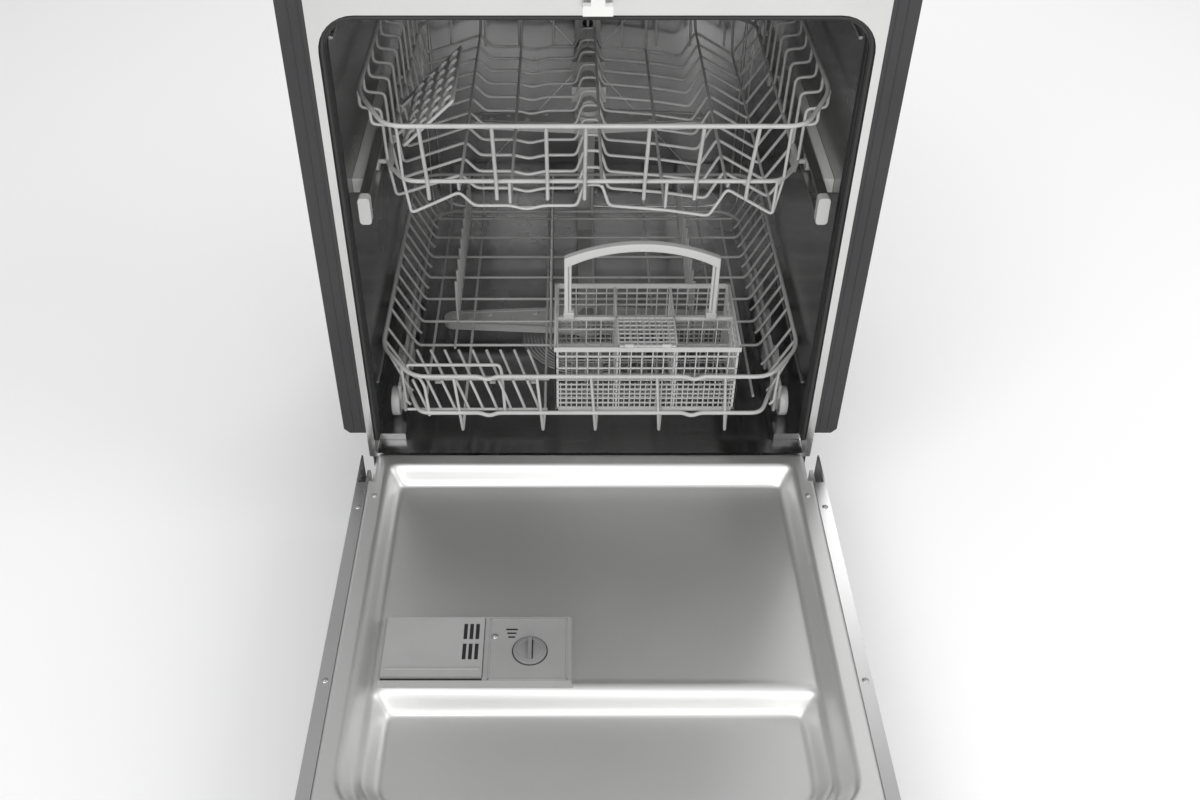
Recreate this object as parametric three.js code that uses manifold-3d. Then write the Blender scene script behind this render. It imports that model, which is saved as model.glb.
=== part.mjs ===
// Built-in dishwasher with its door open: a steel tub on a base tray, a drop-down door with a
// dispenser, two wire racks on wheels, a cutlery basket, spray arms and the works under the tub.
// Millimetres, Z up, X to the right, the tub opening faces -Y.
import * as THREE from 'three';
import { mergeVertices } from 'three/addons/utils/BufferGeometryUtils.js';
import Module from 'manifold-3d';

const wasm = await Module();
wasm.setup();

// Driving dimensions
const doorWidth = 598;
const machineTop = 812;
const tubDepth = 550;
const doorLength = 703;
const doorThickness = 60;
const doorFaceHeight = 165;
const doorEndGap = 16;
const steel = 2;
const fit = 0.3;
const overrun = 20;
const wireRadius = 2.4;
const thinWireRadius = 1.7;
const wireSides = 4;
const roundSides = 16;
const wheelSides = 12;
const wheelRadius = 20;

// Tub opening and inside
const flangeHalf = 292;
const openingHalf = 283;
const openingTop = 749;
const openingBottom = 154;
const openingRadius = 40;
const tubHalf = 281;
const tubFloor = 150;
const tubRoof = 760;
const tubRadius = 36;
const grooveDepth = 26;
const gasketWidth = 6;
const baseTop = tubFloor - steel - fit;
const baseBottom = 26;
const baseFront = 20;
const sumpCentre = { x: 0, y: 262 };
const sumpHoleRadius = 98;
const cupOffset = 50;

// Door hinge: the pivot turns the open door's face plane into the closed door's face plane
const closedGap = 2;
const pivot = { z: 130 };
pivot.y = pivot.z - doorFaceHeight - closedGap;
const doorNear = -doorEndGap;
const doorFar = doorNear - doorLength;
const doorBack = doorFaceHeight - doorThickness;

// Racks at home
const lowerFront = 18;
const upperFront = 16;
const rackBackGap = 22;
const rackBack = tubDepth - rackBackGap;
const lowerHalf = 272;
const upperHalf = 267;
const lowerFloor = 205;
const upperRim = 620;
const upperFloor = 494;
const upperLow = 484;

// The whole machine is centred on its own box, so the origin is under the middle of it
const originShift = (-doorFar - tubDepth) / 2;

const finish = {
  steel: { color: 0xc9cbcd, roughness: 0.32, metalness: 1 },
  liner: { color: 0xbfc1c3, roughness: 0.38, metalness: 1 },
  black: { color: 0x1c1d1f, roughness: 0.6, metalness: 0 },
  blanket: { color: 0x3a3b3d, roughness: 0.95, metalness: 0 },
  grey: { color: 0xb9bab9, roughness: 0.5, metalness: 0 },
  white: { color: 0xeeeeec, roughness: 0.45, metalness: 0 },
  wire: { color: 0xb4b6b5, roughness: 0.45, metalness: 0 },
  dispenser: { color: 0x97999a, roughness: 0.5, metalness: 0 },
};

const machine = new THREE.Group();
machine.position.y = originShift;

// Shape helpers
function solid(geometry) {
  const plain = geometry.clone();
  plain.deleteAttribute('normal');
  plain.deleteAttribute('uv');
  const merged = mergeVertices(plain);
  return new wasm.Manifold(new wasm.Mesh({
    numProp: 3,
    vertProperties: Float32Array.from(merged.attributes.position.array),
    triVerts: Uint32Array.from(merged.index.array),
  }));
}

function block([x0, x1], [y0, y1], [z0, z1]) {
  const geometry = new THREE.BoxGeometry(x1 - x0, y1 - y0, z1 - z0);
  geometry.translate((x0 + x1) / 2, (y0 + y1) / 2, (z0 + z1) / 2);
  return solid(geometry);
}

const planes = {
  xy: [[1, 0, 0], [0, 1, 0], [0, 0, 1]],
  xz: [[1, 0, 0], [0, 0, 1], [0, -1, 0]],
  yz: [[0, 1, 0], [0, 0, 1], [1, 0, 0]],
};

// Extrudes an outline drawn on a plane, from one place to another along the plane's normal
function slab(plane, shape, from, to, segments = 4) {
  const drawn = shape instanceof THREE.Shape;
  const outline = drawn ? shape : new THREE.Shape(shape.map((p) => new THREE.Vector2(...p)));
  const settings = { depth: Math.abs(to - from), bevelEnabled: false, curveSegments: segments };
  const geometry = new THREE.ExtrudeGeometry(outline, settings);
  const axes = planes[plane].map((axis) => new THREE.Vector3(...axis));
  geometry.applyMatrix4(new THREE.Matrix4().makeBasis(...axes));
  const start = plane === 'xz' ? Math.max(from, to) : Math.min(from, to);
  const along = new THREE.Vector3(...planes[plane][2]);
  geometry.translate(Math.abs(along.x) * start, Math.abs(along.y) * start, Math.abs(along.z) * start);
  return solid(geometry);
}

function roundedOutline([u0, u1], [v0, v1], lowRadius, highRadius) {
  const shape = new THREE.Shape();
  const quarter = Math.PI / 2;
  shape.moveTo(u0 + lowRadius, v0);
  shape.lineTo(u1 - lowRadius, v0);
  shape.absarc(u1 - lowRadius, v0 + lowRadius, lowRadius, -quarter, 0);
  shape.lineTo(u1, v1 - highRadius);
  shape.absarc(u1 - highRadius, v1 - highRadius, highRadius, 0, quarter);
  shape.lineTo(u0 + highRadius, v1);
  shape.absarc(u0 + highRadius, v1 - highRadius, highRadius, quarter, 2 * quarter);
  shape.lineTo(u0, v0 + lowRadius);
  shape.absarc(u0 + lowRadius, v0 + lowRadius, lowRadius, 2 * quarter, 3 * quarter);
  return shape;
}

// A solid between two outlines with the same number of points
function loft(lowOutline, lowZ, highOutline, highZ) {
  const count = lowOutline.length;
  const raised = (outline, z) => outline.map(([x, y]) => [x, y, z]);
  const points = [...raised(lowOutline, lowZ), ...raised(highOutline, highZ)];
  const index = [];
  for (let i = 1; i < count - 1; i++) index.push(0, i + 1, i, count, count + i, count + i + 1);
  for (let i = 0; i < count; i++) {
    const next = (i + 1) % count;
    index.push(i, next, count + next, i, count + next, count + i);
  }
  const geometry = new THREE.BufferGeometry();
  geometry.setAttribute('position', new THREE.Float32BufferAttribute(points.flat(), 3));
  geometry.setIndex(index);
  return solid(geometry);
}

function rod(from, to, radius, sides = roundSides) {
  const start = new THREE.Vector3(...from);
  const axis = new THREE.Vector3(...to).sub(start);
  const geometry = new THREE.CylinderGeometry(radius, radius, axis.length(), sides);
  const upright = new THREE.Vector3(0, 1, 0);
  geometry.applyQuaternion(new THREE.Quaternion().setFromUnitVectors(upright, axis.clone().normalize()));
  geometry.translate(...start.addScaledVector(axis, 1 / 2).toArray());
  return solid(geometry);
}

// A round solid from a profile of [radius, height] points, turned about a vertical axis
function turned(profile, centre, sides = roundSides) {
  const geometry = new THREE.LatheGeometry(profile.map((p) => new THREE.Vector2(...p)), sides);
  geometry.rotateX(Math.PI / 2);
  geometry.translate(centre.x, centre.y, 0);
  return solid(geometry);
}

// A wire bent at each of its points, with mitred corners; a loop closes on itself
function wire(path, radius = wireRadius, loop = false, sides = wireSides) {
  const points = path.map((p) => new THREE.Vector3(...p));
  const count = points.length;
  const spans = points.map((p, i) => points[(i + 1) % count].clone().sub(p).normalize());
  if (!loop) spans.pop();
  const first = spans[0];
  const helper = Math.abs(first.z) > Math.SQRT1_2 ? new THREE.Vector3(0, 1, 0) : new THREE.Vector3(0, 0, 1);
  const side = new THREE.Vector3().crossVectors(first, helper).normalize();
  const up = new THREE.Vector3().crossVectors(first, side);
  let offsets = Array.from({ length: sides }, (_, k) => {
    const angle = ((k + 1 / 2) / sides) * 2 * Math.PI;
    const across = side.clone().multiplyScalar(radius * Math.cos(angle));
    return across.addScaledVector(up, radius * Math.sin(angle));
  });
  const rings = [];
  for (let i = 0; i < count; i++) {
    const before = spans[i - 1] ?? (loop ? spans[count - 1] : spans[0]);
    const after = spans[i] ?? spans[spans.length - 1];
    const normal = before.clone().add(after).normalize();
    const run = i === 0 ? after : before;
    const corner = offsets.map((o) => o.clone().addScaledVector(run, -o.dot(normal) / run.dot(normal)));
    rings.push(corner.map((c) => c.clone().add(points[i])));
    offsets = corner.map((c) => c.clone().addScaledVector(after, -c.dot(after)));
  }
  const index = [];
  const joins = loop ? count : count - 1;
  for (let i = 0; i < joins; i++) {
    for (let k = 0; k < sides; k++) {
      const a = i * sides + k;
      const b = i * sides + ((k + 1) % sides);
      const c = ((i + 1) % count) * sides + k;
      const d = ((i + 1) % count) * sides + ((k + 1) % sides);
      index.push(a, b, d, a, d, c);
    }
  }
  for (let k = 1; k < sides - 1 && !loop; k++) {
    const last = (count - 1) * sides;
    index.push(0, k + 1, k, last, last + k, last + k + 1);
  }
  const geometry = new THREE.BufferGeometry();
  const places = rings.flat().flatMap((v) => v.toArray());
  geometry.setAttribute('position', new THREE.Float32BufferAttribute(places, 3));
  geometry.setIndex(index);
  return solid(geometry);
}

const joined = (pieces) => wasm.Manifold.union(pieces);
const sides = [['left', -1], ['right', 1]];

// Evenly spaced places from one end to the other
function steps(from, to, count) {
  return Array.from({ length: count }, (_, i) => from + ((to - from) * i) / (count - 1));
}

// A span across one side of the machine, given by its distances from the middle
function sideSpan(way, near, far) {
  return [way * near, way * far].sort((a, b) => a - b);
}

function addPiece(name, shape, look, place = [0, 0, 0]) {
  const mesh = shape.getMesh();
  const geometry = new THREE.BufferGeometry();
  geometry.setAttribute('position', new THREE.BufferAttribute(Float32Array.from(mesh.vertProperties), 3));
  geometry.setIndex(new THREE.BufferAttribute(Uint32Array.from(mesh.triVerts), 1));
  geometry.computeVertexNormals();
  const piece = new THREE.Mesh(geometry, new THREE.MeshStandardMaterial(look));
  piece.name = name;
  piece.position.set(...place);
  machine.add(piece);
}

// Tub: a deep-drawn steel box with a front flange, a gasket groove and wheel ledges
const ledge = { inner: 246, top: doorFaceHeight };
const overSump = (z) => [sumpCentre.x, sumpCentre.y, z];

function tub() {
  const shellHalf = tubHalf + steel;
  const grooveHalf = openingHalf + steel;
  const bottom = tubFloor - steel;
  const flange = slab('xz', roundedOutline([-flangeHalf, flangeHalf], [bottom, machineTop], steel, steel),
    0, steel);
  const groove = slab('xz', roundedOutline([-grooveHalf, grooveHalf], [bottom, openingTop + 2 * steel],
    steel, openingRadius), 0, grooveDepth + steel);
  const shell = slab('xz', roundedOutline([-shellHalf, shellHalf], [bottom, tubRoof + steel],
    steel, tubRadius), grooveDepth, tubDepth);
  const opening = slab('xz', roundedOutline([-openingHalf, openingHalf], [openingBottom, openingTop],
    steel, openingRadius), -overrun, grooveDepth);
  const inside = slab('xz', roundedOutline([-tubHalf, tubHalf], [tubFloor, tubRoof], steel, tubRadius),
    grooveDepth - fit, tubDepth - steel);
  const drain = rod(overSump(tubFloor - overrun), overSump(tubFloor + overrun), sumpHoleRadius,
    2 * roundSides);
  let body = joined([flange, groove, shell]).subtract(opening).subtract(inside);
  for (const [, way] of sides) {
    const across = sideSpan(way, ledge.inner, tubHalf + steel / 2);
    body = body.add(block(across, [grooveDepth, tubDepth - steel / 2], [tubFloor - steel / 2, ledge.top]));
  }
  return body.subtract(drain);
}

// Rubber gasket: a channel up the sides and over the top of the opening
function tubGasket() {
  const front = steel * 3 / 2;
  const outer = openingHalf - fit;
  const inner = openingHalf - gasketWidth;
  const foot = openingBottom + overrun;
  const back = grooveDepth - fit;
  const outline = roundedOutline([-outer, outer], [foot, openingTop - fit], steel, openingRadius - fit);
  const ring = slab('xz', outline, front, back);
  const hollow = slab('xz', roundedOutline([-inner, inner], [foot - 2 * overrun, openingTop - gasketWidth],
    steel, openingRadius - gasketWidth), front - overrun, back + overrun);
  return ring.subtract(hollow);
}

// Black sealing strips that close the gap to the cabinets on each side
function sideSeal(way) {
  const strip = { width: 28, depth: 26, bottom: 190, chamfer: 7 };
  const inner = flangeHalf + fit;
  const outer = inner + strip.width;
  const outline = [[inner, strip.bottom], [outer - strip.chamfer, strip.bottom],
    [outer, strip.bottom + strip.chamfer], [outer, machineTop], [inner, machineTop]];
  const placed = outline.map(([x, z]) => [way * x, z]);
  return slab('xz', way < 0 ? placed.reverse() : placed, 0, strip.depth);
}

// Sound blanket wrapped over the sides and the roof of the tub
function tubBlanket() {
  const wrap = { front: 34, thickness: 12, backInset: 6 };
  const inner = tubHalf + steel + fit;
  const outer = inner + wrap.thickness;
  const bottom = tubFloor + steel;
  const over = slab('xz', roundedOutline([-outer, outer], [bottom, tubRoof + steel + fit + wrap.thickness],
    steel, tubRadius), wrap.front, tubDepth - wrap.backInset);
  const under = slab('xz', roundedOutline([-inner, inner], [bottom - overrun, tubRoof + steel + fit],
    steel, tubRadius), wrap.front - overrun, tubDepth + overrun);
  return over.subtract(under);
}

// White catch that the door latch grips, hung over the top edge of the opening
const strike = { half: 15, stemHalf: 7, height: 27, reach: 15, plate: 5 };
strike.bottom = openingTop + strike.plate;
strike.top = strike.bottom + strike.height;

function doorStrike() {
  const stem = [-strike.stemHalf, strike.stemHalf];
  const plate = block(stem, [-strike.plate - fit, -fit], [strike.bottom, strike.top]);
  const bar = block([-strike.half, strike.half], [-strike.reach, -strike.plate],
    [strike.bottom, strike.bottom + strike.plate * 2]);
  const neck = block(stem, [-strike.reach, -strike.plate + fit], [strike.bottom, strike.top - strike.plate]);
  return joined([plate, bar, neck]);
}

// Base tray that carries the tub, with front corners set back so the door can swing
const baseWall = 5;
const foot = {
  x: 262, front: 62, backInset: 32, pad: 20, padHeight: 9, stem: 7, stemTop: 64, boss: 13, bossTop: 50,
};
const rearFoot = tubDepth - foot.backInset;
const footPlaces = [['front_left', -1, foot.front], ['front_right', 1, foot.front],
  ['rear_left', -1, rearFoot], ['rear_right', 1, rearFoot]];

function baseTray() {
  const back = tubDepth;
  const outer = block([-flangeHalf, flangeHalf], [baseFront, back], [baseBottom, baseTop]);
  const innerHalf = flangeHalf - baseWall;
  const inner = block([-innerHalf, innerHalf], [baseFront - overrun, back - baseWall],
    [baseBottom + baseWall, baseTop + overrun]);
  let body = outer.subtract(inner);
  for (const [, way, y] of footPlaces) {
    body = body.add(rod([way * foot.x, y, baseBottom], [way * foot.x, y, foot.bossTop], foot.boss));
  }
  for (const [, way, y] of footPlaces) {
    const x = way * foot.x;
    body = body.subtract(rod([x, y, baseBottom - overrun], [x, y, foot.bossTop + overrun], foot.stem + fit));
  }
  return body;
}

function levellingFoot() {
  return turned([[0, 0], [foot.pad, 0], [foot.pad, foot.padHeight / 2], [foot.stem, foot.padHeight],
    [foot.stem, foot.stemTop], [0, foot.stemTop]], { x: 0, y: 0 });
}

// Toe panel across the front of the base tray, folded back along its top and bottom
function toePanel() {
  const panel = { half: 284, thickness: 2, front: 12, bottom: 12, top: 98, fold: 6 };
  const inside = panel.front + panel.thickness;
  const outline = [[panel.front, panel.bottom], [panel.front + panel.fold, panel.bottom],
    [panel.front + panel.fold, panel.bottom + panel.thickness], [inside, panel.bottom + panel.thickness],
    [inside, panel.top - panel.thickness], [baseFront - fit, panel.top - panel.thickness],
    [baseFront - fit, panel.top], [panel.front, panel.top]];
  const plate = slab('yz', outline, -panel.half, panel.half);
  const spacer = block([-panel.half, panel.half], [panel.front + panel.thickness / 2, baseFront - fit],
    [baseBottom, baseBottom + baseWall]);
  return plate.add(spacer);
}

// Hinge brackets: steel arms from the base tray with the door's pivot pins
const bracket = { inner: 280, outer: 284.5, hub: 12, half: 11, back: 78, pin: 5.5, pinEnd: 294 };

function hingeBracket(way) {
  const [near, far] = [way * bracket.inner, way * bracket.outer];
  const hub = rod([near, pivot.y, pivot.z], [far, pivot.y, pivot.z], bracket.hub);
  const rise = [pivot.z - bracket.half, pivot.z + bracket.half];
  const arm = block(sideSpan(way, bracket.inner, bracket.outer), [pivot.y, bracket.back], rise);
  const pin = rod([near, pivot.y, pivot.z], [way * bracket.pinEnd, pivot.y, pivot.z], bracket.pin);
  const pad = sideSpan(way, bracket.inner, flangeHalf - baseWall - fit);
  const seat = block(pad, [baseFront + baseWall, bracket.back], rise);
  return joined([hub, arm, pin, seat]);
}

// Sump: a plastic bowl clamped under the drain hole
const sump = { flange: 118, flangeHeight: 5, bowl: 95, bottom: 66, floorRadius: 83, wall: 4 };

function sumpBowl() {
  const top = baseTop - fit;
  const { flange, flangeHeight, bowl, bottom, floorRadius, wall } = sump;
  const under = top - flangeHeight;
  const profile = [[0, bottom], [floorRadius, bottom], [bowl, under], [flange, under], [flange, top],
    [bowl - wall, top], [floorRadius - wall, bottom + wall], [0, bottom + wall]];
  return turned(profile, sumpCentre, 2 * roundSides);
}

// Filter plate with a removable filter cup that locks with a quarter turn
const cup = { x: 0, y: sumpCentre.y - cupOffset, radius: 28, wall: 3, top: 156, bottom: 84, rim: 32 };
const filter = { radius: sumpHoleRadius - steel, thickness: 3, pipe: 17, base: tubFloor - steel };

function filterPlate() {
  const { base } = filter;
  const disc = rod(overSump(base), overSump(base + filter.thickness), filter.radius, 2 * roundSides);
  const hole = rod([cup.x, cup.y, base - overrun], [cup.x, cup.y, base + overrun], cup.radius + steel / 2);
  const pipe = rod(overSump(base - overrun), overSump(base + overrun), filter.pipe);
  return disc.subtract(hole).subtract(pipe);
}

function filterCup() {
  const seat = filter.base + filter.thickness + fit;
  const bowl = turned([[0, cup.bottom], [cup.radius, cup.bottom], [cup.radius, seat], [cup.rim, seat],
    [cup.rim, cup.top], [cup.radius - cup.wall, cup.top], [cup.radius - cup.wall, cup.bottom + cup.wall],
    [0, cup.bottom + cup.wall]], cup);
  const grip = block([cup.x - cup.radius, cup.x + cup.radius], [cup.y - cup.wall, cup.y + cup.wall],
    [seat, cup.top]);
  return bowl.add(grip);
}

// Pumps on the base tray, each with a pipe to the sump
function pump(way, size) {
  const floor = baseBottom + baseWall + fit;
  const height = floor + size.radius * size.headShare;
  const x = way * size.x;
  const motor = rod([x, size.y, height], [x + way * size.length, size.y, height], size.radius);
  const headRadius = size.radius * size.headShare;
  const head = rod([x - way * size.head, size.y, height], [x + way * fit, size.y, height], headRadius);
  const cradle = block(sideSpan(way, size.x + size.head, size.x + size.head * 2),
    [size.y - size.radius / 2, size.y + size.radius / 2], [floor, height]);
  return joined([motor, head, cradle]);
}

const circulation = { radius: 38, length: 95, head: 22, headShare: 1.12, x: 122, y: 277 };
const drainage = { radius: 26, length: 62, head: 16, headShare: 1.15, x: 114, y: 252 };

// Water feed: a pipe along the tub floor, up the back wall, to the docking port for the upper arm
const dockHeight = 470;
const feed = {
  width: 26, depth: 15, floorHeight: 12, head: 20, port: 14, portReach: 12, hub: 13, hubTop: 172,
};
const tubBackFace = tubDepth - steel;

function feedTube() {
  const back = tubBackFace - fit;
  const floor = tubFloor + fit;
  const across = [-feed.width / 2, feed.width / 2];
  const mouth = back - feed.depth - feed.portReach;
  const riser = block(across, [back - feed.depth, back], [floor, dockHeight + feed.head]);
  const run = block(across, [sumpCentre.y, back], [floor + steel, floor + steel + feed.floorHeight]);
  const hub = rod(overSump(sump.bottom + sump.wall * 2), overSump(feed.hubTop), feed.hub);
  const port = rod([0, mouth, dockHeight], [0, back, dockHeight], feed.port);
  return joined([riser, run, hub, port]);
}

// Spray arm: a flat pod with two tapered blades and a hub
const lowerArm = { reach: 212, low: feed.hubTop + fit, high: 184, cap: 190 };
const manifold = { radius: 10, height: dockHeight, gap: 1, hub: 16, saddle: 24, saddleWires: [8, 10] };
const upperArm = { x: 0, y: 362, reach: 165, thickness: 11, below: 15 };
upperArm.high = manifold.height - upperArm.below;
upperArm.low = upperArm.high - upperArm.thickness;
upperArm.cap = upperArm.high;

function sprayArm(centre, { reach, low, high, cap }) {
  const root = 27;
  const tip = 15;
  const hub = 34;
  const shape = new THREE.Shape();
  const quarter = Math.PI / 2;
  shape.moveTo(-root, -root / 2);
  shape.lineTo(-root / 2, -reach + tip);
  shape.absarc(0, -reach + tip, tip, 2 * quarter, 4 * quarter);
  shape.lineTo(root, -root / 2);
  shape.lineTo(root, root / 2);
  shape.lineTo(tip, reach - tip);
  shape.absarc(0, reach - tip, tip, 0, 2 * quarter);
  shape.lineTo(-root, root / 2);
  const blade = slab('xy', shape, low, high, 3).rotate([0, 0, 90]).translate([centre.x, centre.y, 0]);
  const boss = rod([centre.x, centre.y, low], [centre.x, centre.y, high], hub);
  const stub = rod([centre.x, centre.y, low], [centre.x, centre.y, cap], hub / 2);
  return joined([blade, boss, stub]);
}

// Manifold: the pipe under the upper rack that feeds the upper spray arm from the docking port
function armManifold() {
  const start = tubBackFace - fit - feed.depth - feed.portReach - manifold.gap;
  const pipe = rod([0, start, manifold.height], [0, upperArm.y, manifold.height], manifold.radius);
  const { x, y } = upperArm;
  const hub = rod([x, y, upperArm.high + fit], [x, y, manifold.height], manifold.hub);
  const top = upperFloor - thinWireRadius * Math.SQRT1_2 - 2 * fit;
  const saddles = manifold.saddleWires.map((n) => {
    const middle = steps(upper.crossFront, upper.crossBack, upper.crossCount)[n];
    const span = [middle - manifold.hub / 2, middle + manifold.hub / 2];
    return block([-manifold.saddle, manifold.saddle], span, [manifold.height, top]);
  });
  return joined([pipe, hub, ...saddles]);
}

// Upper rack: cross wires bent to hold cups on the left and stems on the right
const upper = {
  chamferIn: 40, chamferDeep: 84, rail: 530, railHalf: 242, railFront: 56, railChamfer: 26, step: 597,
  stepHalf: 244, bottomHalf: 236, hump: 28, humpHalf: 19, crossCount: 12, crossFront: 62,
};
upper.crossBack = rackBack - rackBackGap;
// Places on a cross wire: [share of the half width, rise as a share of the ridge]
const cupShares = [[-0.66, 0.64], [-0.59, 0], [-0.41, 0], [-0.33, -0.18], [-0.24, 0]];
const stemShares = [[0.36, -0.21], [0.58, -0.5], [0.66, 0.79], [0.9, -0.43]];

function upperCross(y) {
  const onFloor = ([share, rise]) => [share * upper.bottomHalf, y, upperFloor + rise * upper.hump];
  const left = [[-upperHalf, y, upperRim], [-upperHalf, y, upper.step + steel],
    [-upper.stepHalf, y, upper.step], [-upper.railHalf, y, upper.rail], [-upper.bottomHalf, y, upperLow]];
  const ridge = [[-upper.humpHalf, y, upperFloor], [-manifold.radius, y, upperFloor + upper.hump],
    [manifold.radius, y, upperFloor + upper.hump], [upper.humpHalf, y, upperFloor]];
  const right = [[upper.railHalf, y, upper.rail], [upper.stepHalf, y, upper.step],
    [upperHalf, y, upper.step + steel], [upperHalf, y, upperRim]];
  const path = [...left, ...cupShares.map(onFloor), ...ridge, ...stemShares.map(onFloor), ...right];
  return wire(path, thinWireRadius);
}

function chamferedLoop(half, front, back, z, inset, deep, corner) {
  const right = [[half - inset, front, z], [half, front + deep, z], [half, back - corner, z],
    [half - corner, back, z]];
  const left = right.map(([x, y]) => [-x, y, z]).reverse();
  return [...right, ...left];
}

const upperWheel = { radius: 11.2, width: 6, bore: 3.4, axle: 3, x: 262.5, z: 516, ys: [128, 360] };

function upperRack() {
  const top = chamferedLoop(upperHalf, upperFront, rackBack, upperRim,
    upper.chamferIn, upper.chamferDeep, upper.railChamfer);
  const low = chamferedLoop(upper.railHalf, upper.railFront, rackBack - steel, upper.rail,
    upper.railChamfer, upper.chamferIn, upper.railChamfer);
  const pieces = [wire(top, wireRadius, true), wire(low, wireRadius, true)];
  for (const y of steps(upper.crossFront, upper.crossBack, upper.crossCount)) pieces.push(upperCross(y));
  const lengthwiseShares = [[-0.66, 0.64], [-0.41, 0], [0.36, -0.21], [0.66, 0.79], [0.9, -0.43]];
  for (const [share, rise] of lengthwiseShares) {
    const x = share * upper.bottomHalf;
    const z = upperFloor + rise * upper.hump;
    pieces.push(wire([[x, upper.railFront, upper.rail], [x, upper.crossFront, z], [x, upper.crossBack, z],
      [x, rackBack - steel, upper.rail]], thinWireRadius));
  }
  const uprightShares = [-0.81, -0.47, -0.22, 0.25, 0.5, 0.75];
  for (const share of uprightShares) {
    const x = share * upper.bottomHalf;
    pieces.push(wire([[x, upperFront, upperRim], [x, upper.railFront, upper.rail - steel],
      [x, upper.railFront + steel, upperLow]], thinWireRadius));
    pieces.push(wire([[x, rackBack, upperRim], [x, rackBack - steel, upper.rail - steel]], thinWireRadius));
  }
  for (const [, way] of sides) {
    for (const y of upperWheel.ys) pieces.push(...wheelMount(way, y, upper.railHalf, upperWheel, upper.rail));
  }
  return joined(pieces);
}

// A plate on the rack's side with the axle that a wheel turns on
function wheelMount(way, y, half, wheel, top) {
  const plate = { depth: 14, thickness: 3 };
  const inner = sideSpan(way, half - plate.thickness / 2, half + plate.thickness);
  return [block(inner, [y - plate.depth, y + plate.depth], [wheel.z - wheel.axle * 2, top + steel]),
    rod([way * half, y, wheel.z], [way * wheel.x, y, wheel.z], wheel.axle, roundSides / 2)];
}

// A rack wheel with a bore, lying on its side around the X axis
function rackWheel(wheel) {
  const half = wheel.width / 2;
  const hub = wheel.radius / 2;
  const dishShare = 0.6;
  const dish = half * dishShare;
  const profile = [[wheel.bore, -half], [hub, -half], [wheel.radius, -dish], [wheel.radius, dish],
    [hub, half], [wheel.bore, half], [wheel.bore, -half]];
  const geometry = new THREE.LatheGeometry(profile.map((p) => new THREE.Vector2(...p)), wheelSides);
  geometry.rotateZ(-Math.PI / 2);
  return solid(geometry);
}

// Rails: steel channels open towards the rack, with a plastic cap on the front end
const rail = {
  inner: 254.5, outer: 266, half: 13, sheet: 1.5, front: 24, back: 520, cap: 12, capHalf: 17, lip: 4,
};

function upperRail(way) {
  const across = sideSpan(way, rail.inner, rail.outer);
  const hollow = sideSpan(way, rail.inner - overrun, rail.outer - rail.sheet);
  const body = block(across, [rail.front, rail.back], [upperWheel.z - rail.half, upperWheel.z + rail.half]);
  return body.subtract(block(hollow, [rail.front - overrun, rail.back + overrun],
    [upperWheel.z - rail.half + rail.sheet, upperWheel.z + rail.half - rail.sheet]));
}

function railCap(way) {
  const tongue = sideSpan(way, rail.inner + rail.lip, rail.outer - rail.sheet - fit);
  const head = sideSpan(way, rail.inner - steel, rail.outer);
  const front = rail.front - fit;
  const rise = [upperWheel.z - rail.capHalf, upperWheel.z + rail.capHalf];
  const cap = slab('xz', roundedOutline(head, rise, rail.lip, rail.lip), front - rail.cap, front, 2);
  const plug = block(tongue, [front - steel, front + rail.cap],
    [upperWheel.z - rail.half + rail.sheet + fit, upperWheel.z + rail.half - rail.sheet - fit]);
  return cap.add(plug);
}

function railGuide(way) {
  const guide = { front: 70, back: 330, half: 9 };
  const across = sideSpan(way, rail.outer + fit, tubHalf - fit);
  return block(across, [guide.front, guide.back], [upperWheel.z - guide.half, upperWheel.z + guide.half]);
}

// Cup shelf: a plastic lattice clipped to the upper rack's left rail, standing at a slant
const shelf = {
  tilt: 43, from: 26, to: 112, front: 104, length: 150, thickness: 3.2, clip: 5.4, clipWidth: 12,
  clipBays: [2, 4], rows: 4, columns: 6, bar: 3.4,
};
// Corners of one hexagonal hole, as shares of its cell
const hexagonShares = [[0, 1 / 2], [1 / 4, 0], [3 / 4, 0], [1, 1 / 2], [3 / 4, 1], [1 / 4, 1]];

function cupShelf() {
  const length = [shelf.front, shelf.front + shelf.length];
  const outline = roundedOutline([shelf.from, shelf.to], length, shelf.bar, shelf.bar);
  const cell = {
    u: (shelf.to - shelf.from - shelf.bar) / shelf.rows,
    v: (shelf.length - shelf.bar) / shelf.columns,
  };
  for (let i = 0; i < shelf.rows; i++) {
    for (let j = 0; j < shelf.columns; j++) {
      const u = shelf.from + shelf.bar + i * cell.u;
      const v = shelf.front + shelf.bar + j * cell.v;
      const [w, h] = [cell.u - shelf.bar, cell.v - shelf.bar];
      const hole = new THREE.Path(hexagonShares.map(([a, b]) => new THREE.Vector2(u + a * w, v + b * h)));
      outline.holes.push(hole);
    }
  }
  let body = slab('xy', outline, -shelf.thickness / 2, shelf.thickness / 2, 1);
  const crossPitch = (upper.crossBack - upper.crossFront) / (upper.crossCount - 1);
  const clips = shelf.clipBays.map((n) => upper.crossFront + (n + 1 / 2) * crossPitch);
  for (const y of clips) {
    const span = [y - shelf.clipWidth / 2, y + shelf.clipWidth / 2];
    body = body.add(block([0, shelf.from + shelf.bar], span, [-shelf.thickness / 2, shelf.thickness / 2]));
    body = body.add(rod([0, span[0], 0], [0, span[1], 0], shelf.clip));
    body = body.subtract(rod([0, span[0] - overrun, 0], [0, span[1] + overrun, 0], wireRadius + fit));
  }
  return body.rotate([0, -shelf.tilt, 0]).translate([-upper.railHalf, 0, upper.rail]);
}

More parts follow.
